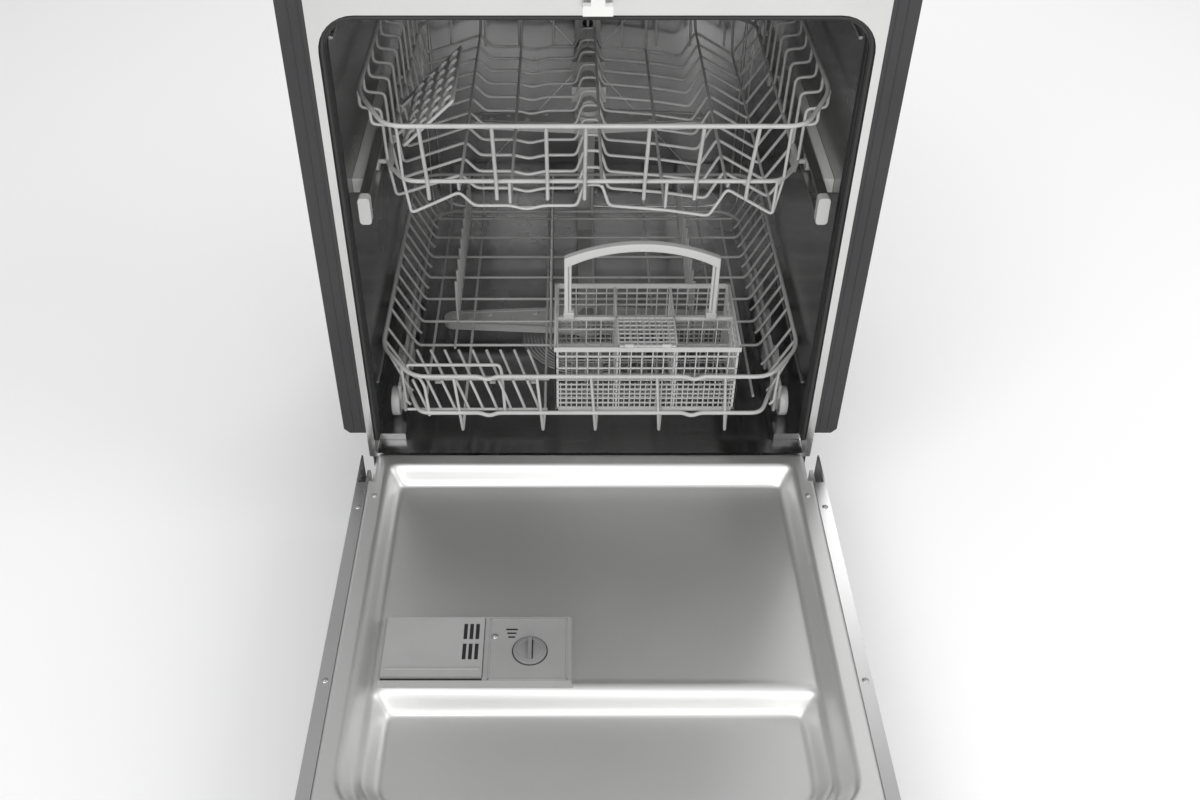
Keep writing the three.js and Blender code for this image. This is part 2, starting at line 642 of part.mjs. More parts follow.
// Lower rack: a flat wire floor with sides, plate tines and stays that reach down at the front
const lower = {
  rim: 270, footRail: 209, bottomHalf: 240, chamferIn: 44, chamferDeep: 62, corner: 24,
  crossCount: 9, crossFront: 56, crossBack: 500, tine: 66, firstTine: 3, stay: 176, stayHalf: 7,
};
const lowerWheel = {
  radius: wheelRadius, width: 11, bore: 4.6, axle: 4.2, x: 265.5, z: doorFaceHeight + wheelRadius + fit,
  ys: [71, 160, 248, 331],
};

function lowerCross(y) {
  const half = Math.min(lowerHalf, lowerHalf - lower.chamferIn * (1 - (y - lowerFront) / lower.chamferDeep));
  const rimHalf = Math.max(half, lowerHalf - lower.chamferIn);
  const right = [[lower.bottomHalf - steel, y, lowerFloor],
    [lower.bottomHalf + steel, y, lower.footRail + steel], [rimHalf, y, lower.rim]];
  const left = right.map(([x, , z]) => [-x, y, z]).reverse();
  return wire([...left, ...right], thinWireRadius);
}

function lowerFrame() {
  const pieces = [wire(chamferedLoop(lowerHalf, lowerFront, rackBack, lower.rim,
    lower.chamferIn, lower.chamferDeep, lower.corner), wireRadius, true)];
  const footHalf = lower.bottomHalf + lower.stayHalf;
  const footBack = rackBack - lower.corner / 2;
  pieces.push(wire(chamferedLoop(footHalf, lowerFront, footBack, lower.footRail,
    lower.corner, lower.chamferDeep, lower.corner), wireRadius, true));
  for (const y of steps(lower.crossFront, lower.crossBack, lower.crossCount)) pieces.push(lowerCross(y));
  const lengthwiseShares = [-0.78, -0.5, -0.22, 0.08, 0.36, 0.62, 0.86];
  for (const share of lengthwiseShares) {
    const x = share * lower.bottomHalf;
    pieces.push(wire([[x, lowerFront, lower.rim], [x, lowerFront, lowerFloor], [x, footBack, lowerFloor],
      [x, rackBack, lower.rim]], thinWireRadius));
  }
  for (const [, way] of sides) {
    for (const y of lowerWheel.ys) pieces.push(...wheelMount(way, y, footHalf, lowerWheel, lower.footRail));
  }
  return pieces;
}

function lowerStays() {
  const stayShares = [-0.7, -0.26, 0.03, 0.38, 0.74];
  const y = lowerFront + steel;
  return stayShares.map((share) => {
    const x = share * lower.bottomHalf;
    return wire([[x - lower.stayHalf, y, lower.rim], [x, y, lower.stay],
      [x + lower.stayHalf, y + lower.corner, lowerFloor]], thinWireRadius);
  });
}

function plateTines() {
  const tineRowShares = [-0.78, -0.22, 0.62];
  const places = steps(lower.crossFront, lower.crossBack, lower.crossCount).slice(lower.firstTine);
  return tineRowShares.flatMap((share) => places.map((y) => {
    const x = share * lower.bottomHalf;
    return wire([[x, y, lowerFloor], [x, y + lower.corner / 4, lowerFloor + lower.tine]], thinWireRadius);
  }));
}

function fixedTines() {
  const y = tineRow.fixed;
  const base = wire([[tineRow.left, y, lowerFloor], [tineRow.right, y, lowerFloor]], thinWireRadius);
  const tines = steps(tineRow.left, tineRow.right, tineRow.count).map((x) => wire(
    [[x, y, lowerFloor], [x - tineRow.lean, y, lowerFloor + tineRow.height]], thinWireRadius));
  return [base, ...tines];
}

function lowerRack() {
  return joined([...lowerFrame(), ...lowerStays(), ...plateTines(), ...fixedTines()]);
}

// Wheel carriages: plastic strips along each side of the lower rack, over the wheel mounts
function wheelCarriage(way) {
  const strip = { gap: 3.4, thickness: 3.7, bottom: 198, top: 221, front: 58, back: 344 };
  strip.inner = lower.bottomHalf + lower.stayHalf + strip.gap;
  strip.outer = strip.inner + strip.thickness;
  const across = sideSpan(way, strip.inner, strip.outer);
  let body = block(across, [strip.front, strip.back], [strip.bottom, strip.top]);
  const { axle, z } = lowerWheel;
  for (const y of lowerWheel.ys) {
    body = body.add(block(across, [y - axle * 2, y + axle * 2], [z - axle * 2, strip.top]));
  }
  const [start, end] = [way * (strip.inner - overrun), way * (strip.outer + overrun)];
  for (const y of lowerWheel.ys) body = body.subtract(rod([start, y, z], [end, y, z], axle + fit));
  return body;
}

// Folding tine row: an axle wire lying on the rack floor with upright tines
const tineRow = { y: 88, fixed: 30, left: -214, right: -62, count: 9, height: 50, lean: 18 };
const axleEnd = 12;

function foldingTines() {
  const z = lowerFloor + thinWireRadius * (1 + Math.SQRT1_2) + fit;
  const { y, left, right, lean, height } = tineRow;
  const pieces = [wire([[left - axleEnd, y, z], [right + axleEnd, y, z]], thinWireRadius)];
  for (const x of steps(left, right, tineRow.count)) {
    pieces.push(wire([[x, y, z], [x - lean, y, z + height]], thinWireRadius));
  }
  return joined(pieces);
}

// Cutlery basket: slotted walls and floor, two partitions and a frame round the top
const basket = {
  x0: -46, x1: 188, y0: 24, y1: 164, z0: lowerFloor + thinWireRadius + fit, z1: 312, wall: 2.6, bar: 4,
  slotColumns: 7, slotRows: 2, sideColumns: 4, floorRows: 3,
};
const basketSplitShares = [0.34, 0.66];

function slots([u0, u1], [v0, v1], columns, rows) {
  const list = [];
  const du = (u1 - u0) / columns;
  const dv = (v1 - v0) / rows;
  for (let i = 0; i < columns; i++) {
    for (let j = 0; j < rows; j++) {
      list.push([[u0 + i * du + basket.bar / 2, u0 + (i + 1) * du - basket.bar / 2],
        [v0 + j * dv + basket.bar / 2, v0 + (j + 1) * dv - basket.bar / 2]]);
    }
  }
  return list;
}

function cutleryBasket() {
  const { x0, x1, y0, y1, z0, z1, wall, bar } = basket;
  const half = wall / 2;
  const shell = block([x0, x1], [y0, y1], [z0, z1]);
  const inner = block([x0 + wall, x1 - wall], [y0 + wall, y1 - wall], [z0 + wall, z1 + overrun]);
  let body = shell.subtract(inner);
  for (const share of basketSplitShares) {
    const x = x0 + share * (x1 - x0);
    body = body.add(block([x - half, x + half], [y0 + half, y1 - half], [z0 + half, z1 - bar]));
  }
  const middle = (y0 + y1) / 2;
  body = body.add(block([x0 + half, x1 - half], [middle - half, middle + half], [z0 + half, z1 - bar]));
  const openings = [];
  const rise = [z0 + bar * 2, z1 - bar * 2];
  for (const [u, v] of slots([x0 + bar, x1 - bar], rise, basket.slotColumns, basket.slotRows)) {
    openings.push(block(u, [y0 - overrun, y0 + wall * 2], v), block(u, [y1 - wall * 2, y1 + overrun], v));
  }
  for (const [u, v] of slots([y0 + bar, y1 - bar], rise, basket.sideColumns, basket.slotRows)) {
    openings.push(block([x0 - overrun, x0 + wall * 2], u, v), block([x1 - wall * 2, x1 + overrun], u, v));
  }
  const floor = [[x0 + bar * 2, x1 - bar * 2], [y0 + bar * 2, y1 - bar * 2]];
  for (const [u, v] of slots(...floor, basket.slotColumns, basket.floorRows)) {
    openings.push(block(u, v, [z0 - overrun, z0 + wall + fit]));
  }
  return body.subtract(joined(openings));
}

// Basket handle: an arch that stands on the basket's middle partition
const handle = { x0: -34, x1: 162, rise: 92, arch: 22, band: 12, thickness: 9 };

function basketHandle() {
  const y = (basket.y0 + basket.y1) / 2;
  const foot = basket.z1 - basket.bar + fit;
  const shoulder = foot + handle.rise;
  const { x0, x1, band, arch } = handle;
  const middle = (x0 + x1) / 2;
  const shape = new THREE.Shape();
  shape.moveTo(x0, foot);
  shape.lineTo(x0 + band, foot);
  shape.lineTo(x0 + band, shoulder - band);
  shape.quadraticCurveTo(middle, shoulder + 2 * arch - band, x1 - band, shoulder - band);
  shape.lineTo(x1 - band, foot);
  shape.lineTo(x1, foot);
  shape.lineTo(x1, shoulder);
  shape.quadraticCurveTo(middle, shoulder + 2 * arch, x0, shoulder);
  return slab('xz', shape, y - handle.thickness / 2, y + handle.thickness / 2, 8);
}

// Basket lid: a slotted cover over the front middle cell, hinged on the front edge
const lid = { thickness: 2.4, columns: 4, rows: 3 };

function basketLid() {
  const width = basket.x1 - basket.x0;
  const [a, b] = basketSplitShares.map((share) => basket.x0 + share * width);
  const z = basket.z1 + fit;
  const depth = [basket.y0, (basket.y0 + basket.y1) / 2 - handle.thickness];
  const cover = block([a, b], depth, [z, z + lid.thickness]);
  const across = [a + basket.bar / 2, b - basket.bar / 2];
  const along = [depth[0] + basket.bar, depth[1] - basket.bar / 2];
  const openings = slots(across, along, lid.columns, lid.rows)
    .map(([u, v]) => block(u, v, [z - overrun, z + overrun]));
  return cover.subtract(joined(openings));
}

// Door liner: a pressed steel panel with a shallow pan and a deeper pan beyond it
const liner = {
  half: 283.5, panHalf: 262, near: -34, far: -545, corner: 46, floorHalf: 244, farEnd: -530, cornerNotch: 62,
};
const shallow = { z: 140, start: -52, end: -364 };
const deep = { z: 115, half: 234, start: -383, end: -516 };
const panelDepth = 66;

function panOutline(half, near, far, corner) {
  const left = [[-half, near], [-half, far + corner], [-half + corner, far]];
  return [...left, ...left.map(([x, y]) => [-x, y]).reverse()];
}

function panSolid(grow) {
  const outline = (half, near, far) => panOutline(half + grow, near + grow, far - grow, liner.corner);
  const low = shallow.z - grow;
  const high = doorFaceHeight + (grow ? 0 : overrun / 4);
  const first = loft(outline(liner.floorHalf, shallow.start, liner.farEnd), low,
    outline(liner.panHalf, liner.near, liner.far), high);
  const second = loft(outline(deep.half, deep.start, deep.end), deep.z - grow,
    outline(liner.floorHalf, shallow.end, liner.farEnd), low + steel / 2);
  return first.add(second);
}

const dispenser = {
  x0: -240, x1: -24, y0: -362, y1: -268, top: 148, bottom: 116, inset: 5, split: -124, lidTop: 150.4, edge: 4,
  cupWall: 3,
};

function doorLiner() {
  const rise = [doorFaceHeight - steel, doorFaceHeight];
  const plate = block([-liner.half, liner.half], [doorFar + panelDepth + fit, doorNear], rise);
  const { x0, x1, y0, y1, bottom } = dispenser;
  const inset = dispenser.inset - fit;
  const through = [bottom - overrun, doorFaceHeight];
  const cutOut = block([x0 + inset, x1 - inset], [y0 + inset, y1 - inset], through);
  let body = plate.add(panSolid(steel)).subtract(panSolid(0)).subtract(cutOut);
  const notchRise = [doorFaceHeight - overrun, doorFaceHeight + overrun];
  for (const [, way] of sides) {
    const across = sideSpan(way, bracket.inner - steel, liner.half + overrun);
    body = body.subtract(block(across, [-liner.cornerNotch, 0], notchRise));
  }
  return body;
}

// Door skin: the folded outer panel with its side walls, edge strips and hinge arms
const skin = {
  strip: 284, foldNotch: 66, arm: 287.5, armOuter: 292, armFar: -150, armLow: 113, armHigh: 147,
};

function doorSkin() {
  const half = doorWidth / 2;
  const span = [doorFar + panelDepth + fit, doorNear];
  const pieces = [block([-half, half], span, [doorBack, doorBack + steel])];
  for (const [, way] of sides) {
    const wall = sideSpan(way, half - steel, half);
    const strip = sideSpan(way, skin.strip, half);
    const arm = sideSpan(way, skin.arm, skin.armOuter);
    const foot = sideSpan(way, skin.arm, half);
    pieces.push(block(wall, span, [doorBack, doorFaceHeight]));
    pieces.push(block(strip, [span[0], -skin.foldNotch], [doorFaceHeight - steel, doorFaceHeight]));
    pieces.push(block(arm, [skin.armFar, pivot.y + bracket.hub], [skin.armLow, skin.armHigh]));
    pieces.push(block(foot, [skin.armFar, skin.armFar - skin.armFar / 3], [skin.armLow, skin.armHigh]));
  }
  const end = block([-bracket.inner + overrun, bracket.inner - overrun], [doorNear - steel, doorNear],
    [doorBack, doorFaceHeight - steel - fit]);
  let body = joined([...pieces, end]);
  for (const [, way] of sides) {
    const [start, end] = [way * (skin.arm - steel), way * (skin.armOuter + steel)];
    body = body.subtract(rod([start, pivot.y, pivot.z], [end, pivot.y, pivot.z], bracket.pin + fit));
  }
  return body;
}

// Control panel: the plastic top of the door with a grip pocket, button wells and the latch pocket
const pocket = { half: 96, depth: 26, inset: 34, wall: 4 };
const button = { width: 20, height: 11, proud: 1.6, travel: 1.4, depth: 7, inset: 17, xs: [150, 182, 214] };
const latchPocket = { half: 27, depth: 26 };

// The rectangle of one button, with a gap round it
function buttonSpan(x, gap) {
  const [u, v] = [button.width / 2 + gap, button.height / 2 + gap];
  const y = doorFar + button.inset;
  return [[x - u, x + u], [y - v, y + v]];
}

function controlPanel() {
  const half = doorWidth / 2;
  const near = doorFar + panelDepth;
  const outline = [[doorFar, doorBack + steel], [doorFar + steel, doorBack], [near, doorBack],
    [near, doorFaceHeight], [doorFar + steel, doorFaceHeight], [doorFar, doorFaceHeight - steel]];
  let body = slab('yz', outline, -half, half);
  body = body.subtract(block([-pocket.half, pocket.half], [doorFar + pocket.inset, near - pocket.wall],
    [doorBack - overrun, doorBack + pocket.depth]));
  const wellDepth = button.depth + button.travel + fit;
  for (const x of button.xs) {
    const [across, along] = buttonSpan(x, fit);
    body = body.subtract(block(across, along, [doorBack - overrun, doorBack + wellDepth]));
  }
  const latchSpan = [doorFar + steel * 3, near - pocket.wall];
  return body.subtract(block([-latchPocket.half, latchPocket.half], latchSpan,
    [doorFaceHeight - latchPocket.depth, doorFaceHeight + overrun]));
}

function panelButton(x) {
  const outline = roundedOutline(...buttonSpan(x, 0), steel, steel);
  return slab('xy', outline, doorBack - button.proud, doorBack + button.depth, 2);
}

// Door latch: a pivoting jaw in the latch pocket that drops beside the catch
const latch = { x0: 18.5, x1: 24.5, inset: 30, half: 13, low: 142, high: 160, pin: 3 };

function doorLatch() {
  const { x0, x1, half, low, high } = latch;
  const y = doorFar + latch.inset;
  const notch = low + half / 2;
  const jaw = slab('yz', [[y - half, low], [y + half, low], [y + half, high], [y + half / 2, high],
    [y + half / 2, notch], [y - half / 2, notch], [y - half, high]], x0, x1);
  const z = low + half / 4;
  return jaw.add(rod([x0, y, z], [latchPocket.half - fit, y, z], latch.pin, roundSides / 2));
}

// Dispenser: a plastic body let into the liner, with a detergent cup and a rinse aid port
const capPlace = { x: -72, y: -318, radius: 19, bore: 15, height: 5.5, plug: 16.5, ridgeShare: 0.8 };

function dispenserBody() {
  const { x0, x1, y0, y1, top, bottom, inset, split, cupWall, edge } = dispenser;
  const seat = shallow.z + fit;
  const rim = edge / 2;
  const rimPlate = loft([[x0, y0], [x1, y0], [x1, y1], [x0, y1]], seat,
    [[x0 + rim, y0 + edge], [x1 - rim, y0 + edge], [x1 - rim, y1 - rim], [x0 + rim, y1 - rim]], top);
  const well = block([x0 + inset, x1 - inset], [y0 + inset, y1 - inset], [bottom, seat + edge / 2]);
  const wall = inset + cupWall;
  const { x, y } = capPlace;
  const hollow = [bottom + cupWall, top + overrun];
  const tray = block([x0 + wall, split - cupWall], [y0 + wall, y1 - wall], hollow);
  const port = rod([x, y, hollow[0]], [x, y, hollow[1]], capPlace.bore + fit, 2 * roundSides);
  const lidSeat = block([x0 + edge, split + fit], [y0 + edge + fit, y1 - edge], [top - steel, top + overrun]);
  return rimPlate.add(well).subtract(lidSeat).subtract(tray).subtract(port);
}

// Two rows of three blind slots near the lid's free corner
const lidSlot = {
  columns: 3, rows: 2, width: 4.2, length: 22, columnPitch: 6.8, rowPitch: 28, right: 5.4, back: 9,
  depth: 0.9,
};

function detergentLid() {
  const { x0, y0, y1, split, top, lidTop, edge } = dispenser;
  const [right, back] = [split - fit, y1 - edge - fit];
  let cover = block([x0 + edge + fit, right], [y0 + edge * 2, back], [top - steel + fit, lidTop]);
  for (let i = 0; i < lidSlot.columns; i++) {
    for (let j = 0; j < lidSlot.rows; j++) {
      const x = right - lidSlot.right - i * lidSlot.columnPitch;
      const y = back - lidSlot.back - j * lidSlot.rowPitch;
      cover = cover.subtract(block([x - lidSlot.width, x], [y - lidSlot.length, y],
        [lidTop - lidSlot.depth, lidTop + overrun]));
    }
  }
  return cover;
}

function rinseCap() {
  const base = dispenser.top + fit;
  const body = rod([0, 0, base - capPlace.plug], [0, 0, base], capPlace.bore, 2 * roundSides);
  const disc = rod([0, 0, base], [0, 0, base + steel], capPlace.radius, 2 * roundSides);
  const ridgeHalf = capPlace.radius * capPlace.ridgeShare;
  const ridge = block([-steel, steel], [-ridgeHalf, ridgeHalf], [base, base + capPlace.height]);
  return joined([body, disc, ridge]);
}

// Assembly
addPiece('tub', tub(), finish.steel);
addPiece('tub_gasket', tubGasket(), finish.black);
addPiece('tub_blanket', tubBlanket(), finish.blanket);
addPiece('door_strike', doorStrike(), finish.white);
addPiece('base_tray', baseTray(), finish.black);
addPiece('toe_panel', toePanel(), finish.black);
addPiece('sump', sumpBowl(), finish.grey);
addPiece('filter_plate', filterPlate(), finish.grey);
addPiece('filter_cup', filterCup(), finish.grey);
addPiece('circulation_pump', pump(-1, circulation), finish.black);
addPiece('drain_pump', pump(1, drainage), finish.white);
addPiece('feed_tube', feedTube(), finish.grey);
for (const [name, way, y] of footPlaces) {
  addPiece(`foot_${name}`, levellingFoot(), finish.black, [way * foot.x, y, 0]);
}
for (const [name, way] of sides) {
  addPiece(`side_seal_${name}`, sideSeal(way), finish.black);
  addPiece(`hinge_bracket_${name}`, hingeBracket(way), finish.steel);
  addPiece(`rail_guide_${name}`, railGuide(way), finish.white);
  addPiece(`upper_rail_${name}`, upperRail(way), finish.steel);
  addPiece(`rail_cap_${name}`, railCap(way), finish.grey);
  addPiece(`wheel_carriage_${name}`, wheelCarriage(way), finish.grey);
  for (const [label, wheel] of [['lower', lowerWheel], ['upper', upperWheel]]) {
    wheel.ys.forEach((y, i) => addPiece(`${label}_wheel_${name}_${i + 1}`, rackWheel(wheel), finish.grey,
      [way * (wheel.x - wheel.width / 2), y, wheel.z]));
  }
}
addPiece('lower_spray_arm', sprayArm(sumpCentre, lowerArm), finish.grey);
addPiece('upper_spray_arm', sprayArm(upperArm, upperArm), finish.grey);
addPiece('arm_manifold', armManifold(), finish.grey);
addPiece('upper_rack', upperRack(), finish.wire);
addPiece('cup_shelf', cupShelf(), finish.grey);
addPiece('lower_rack', lowerRack(), finish.wire);
addPiece('folding_tines', foldingTines(), finish.wire);
addPiece('cutlery_basket', cutleryBasket(), finish.grey);
addPiece('basket_handle', basketHandle(), finish.grey);
addPiece('basket_lid', basketLid(), finish.grey);
addPiece('door_skin', doorSkin(), finish.steel);
addPiece('door_liner', doorLiner(), finish.liner);
addPiece('control_panel', controlPanel(), finish.black);
button.xs.forEach((x, i) => addPiece(`panel_button_${i + 1}`, panelButton(x), finish.dispenser));
addPiece('door_latch', doorLatch(), finish.white);
addPiece('dispenser_body', dispenserBody(), finish.dispenser);
addPiece('detergent_lid', detergentLid(), finish.dispenser);
addPiece('rinse_cap', rinseCap(), finish.dispenser, [capPlace.x, capPlace.y, 0]);

export default machine;
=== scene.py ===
import math

import bmesh
import bpy
from mathutils import Matrix, Vector


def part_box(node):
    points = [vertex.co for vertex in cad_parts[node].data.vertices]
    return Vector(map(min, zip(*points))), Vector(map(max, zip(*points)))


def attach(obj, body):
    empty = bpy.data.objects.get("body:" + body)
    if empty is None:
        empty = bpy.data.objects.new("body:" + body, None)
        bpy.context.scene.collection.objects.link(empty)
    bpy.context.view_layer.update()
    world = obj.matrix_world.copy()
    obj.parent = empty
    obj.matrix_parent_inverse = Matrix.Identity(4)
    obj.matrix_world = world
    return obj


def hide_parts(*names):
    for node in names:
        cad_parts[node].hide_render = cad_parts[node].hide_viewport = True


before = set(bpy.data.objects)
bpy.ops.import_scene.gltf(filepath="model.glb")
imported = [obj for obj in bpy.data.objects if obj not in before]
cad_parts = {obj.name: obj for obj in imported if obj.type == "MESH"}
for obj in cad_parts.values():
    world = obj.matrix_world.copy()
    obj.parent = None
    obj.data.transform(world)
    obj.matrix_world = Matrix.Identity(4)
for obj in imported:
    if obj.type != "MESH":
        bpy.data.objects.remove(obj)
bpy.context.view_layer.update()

# Tub
# A deep-drawn stainless box with a flat front flange. It sits on the base tray, and carries the
# rails, the gasket and the strips. The pressed steel has a fine grain and a soft satin shine.
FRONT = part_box("side_seal_left")[0].y
MM = 0.001
BUMP_DEPTH = 0.0002


def at(point):
    """A point in millimetres from the opening's front plane, as a place in the model."""
    return Vector((point[0] * MM, point[1] * MM + FRONT, point[2] * MM))


def shader_group(name, inputs, outputs):
    tree = bpy.data.node_groups.new(name, "ShaderNodeTree")
    for label, kind, value in inputs:
        socket = tree.interface.new_socket(label, in_out="INPUT", socket_type=kind)
        if value is not None:
            socket.default_value = value
    for label, kind in outputs:
        tree.interface.new_socket(label, in_out="OUTPUT", socket_type=kind)
    return tree, tree.nodes.new("NodeGroupInput"), tree.nodes.new("NodeGroupOutput")


def link_all(tree, *pairs):
    for source, target in pairs:
        tree.links.new(source, target)


def noise_node(tree, vector, scale, detail):
    noise = tree.nodes.new("ShaderNodeTexNoise")
    noise.inputs["Detail"].default_value = detail
    link_all(tree, (vector, noise.inputs["Vector"]), (scale, noise.inputs["Scale"]))
    return noise


def bump_from(tree, noise, start, end):
    """Ends a group in a bump, whose height is the noise."""
    bump = tree.nodes.new("ShaderNodeBump")
    bump.inputs["Distance"].default_value = BUMP_DEPTH
    link_all(tree, (noise.outputs["Fac"], bump.inputs["Height"]),
             (start.outputs["Strength"], bump.inputs["Strength"]),
             (bump.outputs["Normal"], end.inputs["Normal"]))


def build_grain():
    """Fine bumps, for moulded plastic, rubber and coated wire."""
    tree, start, end = shader_group("Fine grain", [
        ("Vector", "NodeSocketVector", None), ("Scale", "NodeSocketFloat", 900.0),
        ("Strength", "NodeSocketFloat", 0.15),
    ], [("Normal", "NodeSocketVector")])
    noise = noise_node(tree, start.outputs["Vector"], start.outputs["Scale"], 3.0)
    bump_from(tree, noise, start, end)
    return tree


def build_mottle():
    """Slow drift of colour and shine over a surface."""
    tree, start, end = shader_group("Surface drift", [
        ("Vector", "NodeSocketVector", None), ("Scale", "NodeSocketFloat", 9.0),
        ("Color A", "NodeSocketColor", None), ("Color B", "NodeSocketColor", None),
        ("Smooth", "NodeSocketFloat", 0.3), ("Rough", "NodeSocketFloat", 0.5),
    ], [("Color", "NodeSocketColor"), ("Roughness", "NodeSocketFloat")])
    noise = noise_node(tree, start.outputs["Vector"], start.outputs["Scale"], 5.0)
    spread = tree.nodes.new("ShaderNodeMapRange")
    spread.inputs["From Min"].default_value = 0.3
    spread.inputs["From Max"].default_value = 0.7
    mix = tree.nodes.new("ShaderNodeMix")
    mix.data_type = "RGBA"
    shine = tree.nodes.new("ShaderNodeMix")
    drift = spread.outputs["Result"]
    link_all(tree, (noise.outputs["Fac"], spread.inputs["Value"]), (drift, mix.inputs["Factor"]),
             (start.outputs["Color A"], mix.inputs[6]), (start.outputs["Color B"], mix.inputs[7]),
             (drift, shine.inputs["Factor"]), (start.outputs["Smooth"], shine.inputs[2]),
             (start.outputs["Rough"], shine.inputs[3]), (mix.outputs[2], end.inputs["Color"]),
             (shine.outputs[0], end.inputs["Roughness"]))
    return tree


def build_brushed():
    """Drawn lines along one axis of a steel sheet."""
    tree, start, end = shader_group("Drawn lines", [
        ("Vector", "NodeSocketVector", None), ("Stretch", "NodeSocketVector", (1.0, 1.0, 1.0)),
        ("Scale", "NodeSocketFloat", 60.0), ("Strength", "NodeSocketFloat", 0.08),
    ], [("Normal", "NodeSocketVector")])
    stretch = tree.nodes.new("ShaderNodeVectorMath")
    stretch.operation = "MULTIPLY"
    link_all(tree, (start.outputs["Vector"], stretch.inputs[0]),
             (start.outputs["Stretch"], stretch.inputs[1]))
    noise = noise_node(tree, stretch.outputs["Vector"], start.outputs["Scale"], 4.0)
    bump_from(tree, noise, start, end)
    return tree


GRAIN = build_grain()
MOTTLE = build_mottle()
BRUSHED = build_brushed()


def group_node(tree, group, values):
    node = tree.nodes.new("ShaderNodeGroup")
    node.node_tree = group
    for label, value in values.items():
        node.inputs[label].default_value = value
    return node


def finish(name, dark, light, smooth, rough, metallic=0.0, coat=0.0, grain=900.0, strength=0.15,
           drift=9.0, lines=None):
    """A material with drifting colour and shine, over fine grain or drawn lines."""
    made = bpy.data.materials.new(name)
    made.use_nodes = True
    tree = made.node_tree
    shader = tree.nodes["Principled BSDF"]
    place = tree.nodes.new("ShaderNodeTexCoord")
    drifting = group_node(tree, MOTTLE, {
        "Scale": drift, "Color A": (*dark, 1.0), "Color B": (*light, 1.0), "Smooth": smooth, "Rough": rough})
    if lines:
        relief = group_node(tree, BRUSHED, {"Stretch": lines, "Scale": grain, "Strength": strength})
    else:
        relief = group_node(tree, GRAIN, {"Scale": grain, "Strength": strength})
    link_all(tree, (place.outputs["Object"], drifting.inputs["Vector"]),
             (drifting.outputs["Color"], shader.inputs["Base Color"]),
             (drifting.outputs["Roughness"], shader.inputs["Roughness"]),
             (place.outputs["Object"], relief.inputs["Vector"]),
             (relief.outputs["Normal"], shader.inputs["Normal"]))
    shader.inputs["Metallic"].default_value = metallic
    shader.inputs["Coat Weight"].default_value = coat
    return made


stainless = finish("Satin stainless", (0.60, 0.60, 0.59), (0.70, 0.70, 0.69), 0.27, 0.36, metallic=1.0,
                   grain=70.0, strength=0.05, drift=6.0, lines=(1.0, 1.0, 14.0))


def smooth(mesh):
    for face in mesh.polygons:
        face.use_smooth = True


def soften(part, width, segments=2, angle=35):
    """Rounds a piece's edges by a width in millimetres, where they turn by more than the angle."""
    edge = part.modifiers.new("Edges", "BEVEL")
    edge.width = width * MM
    edge.segments = segments
    edge.limit_method = "ANGLE"
    edge.angle_limit = math.radians(angle)
    edge.harden_normals = True
    return part


def keep(node, look, bevel, segments=2):
    """Shows a CAD node with softened edges and its own material."""
    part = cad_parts[node]
    part.data.materials.clear()
    part.data.materials.append(look)
    smooth(part.data)
    return soften(part, bevel, segments)


tub_part = keep("tub", stainless, 1.0)
# The tub's inner faces take a darker copy of the stainless: painted shade for the dim inside of the tub.
tub_shade_steel = finish("Tub inside painted shade", (0.30, 0.30, 0.30), (0.38, 0.38, 0.38), 0.2, 0.3, metallic=1.0,
                      grain=70.0, strength=0.05, drift=6.0, lines=(1.0, 1.0, 14.0))
tub_part.data.materials.append(tub_shade_steel)
flange_depth, inner_wall = 4 * MM, 281.5 * MM
# Faces behind the front flange and between the side walls get the darker steel, which is painted shade.
for face in tub_part.data.polygons:
    if (tub_part.matrix_world @ face.center).y > FRONT + flange_depth and abs(face.center.x) < inner_wall:
        face.material_index = 1

# Tub details
# Two screws in each top corner of the flange. Pressed beads run round the back wall and along
# the side walls.
SIDES = (("left", -1), ("right", 1))
bolt_steel = finish("Screw steel", (0.46, 0.46, 0.46), (0.6, 0.6, 0.6), 0.25, 0.4, metallic=1.0, grain=300.0)


def place_mesh(name, mesh, look, body, rounded=True):
    """Makes a piece of a mesh, on a CAD body and with a material slot."""
    mesh.materials.append(look)
    if rounded:
        smooth(mesh)
    made = bpy.data.objects.new(name.replace(" ", "_"), mesh)
    bpy.context.scene.collection.objects.link(made)
    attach(made, body)
    return made


def add_mesh(name, verts, faces, look, body, slot, rounded=True):
    mesh = bpy.data.meshes.new(name)
    mesh.from_pydata([tuple(v) for v in verts], [], faces)
    mesh.update()
    return place_mesh(name, mesh, look, body, rounded)


def lathe_data(profile, centre, axis="Z", segments=40):
    """Points and faces of a solid turned from [radius, height] pairs in millimetres."""
    verts, faces = [], []
    count = len(profile)
    for step in range(segments):
        angle = 2 * math.pi * step / segments
        for radius, height in profile:
            u, v = radius * math.cos(angle), radius * math.sin(angle)
            offset = {"Z": (u, v, height), "X": (height, u, v), "Y": (v, height, u)}[axis]
            verts.append(at([c + o for c, o in zip(centre, offset)]))
    for step in range(segments):
        after = (step + 1) % segments
        for i in range(count - 1):
            faces.append((step * count + i, after * count + i, after * count + i + 1, step * count + i + 1))
    return verts, faces


def merge_data(pieces):
    verts, faces = [], []
    for more, sides in pieces:
        base = len(verts)
        verts += more
        faces += [tuple(base + i for i in face) for face in sides]
    return verts, faces


def clean(part):
    """Joins doubled points and turns every face outwards."""
    shape = bmesh.new()
    shape.from_mesh(part.data)
    bmesh.ops.remove_doubles(shape, verts=shape.verts, dist=1e-6)
    bmesh.ops.recalc_face_normals(shape, faces=shape.faces)
    shape.to_mesh(part.data)
    shape.free()
    return part


def box_data(x, y, z):
    corners = [at((a, b, c)) for c in z for b in y for a in x]
    return corners, [(0, 2, 3, 1), (4, 5, 7, 6), (0, 1, 5, 4), (2, 6, 7, 3), (0, 4, 6, 2), (1, 3, 7, 5)]


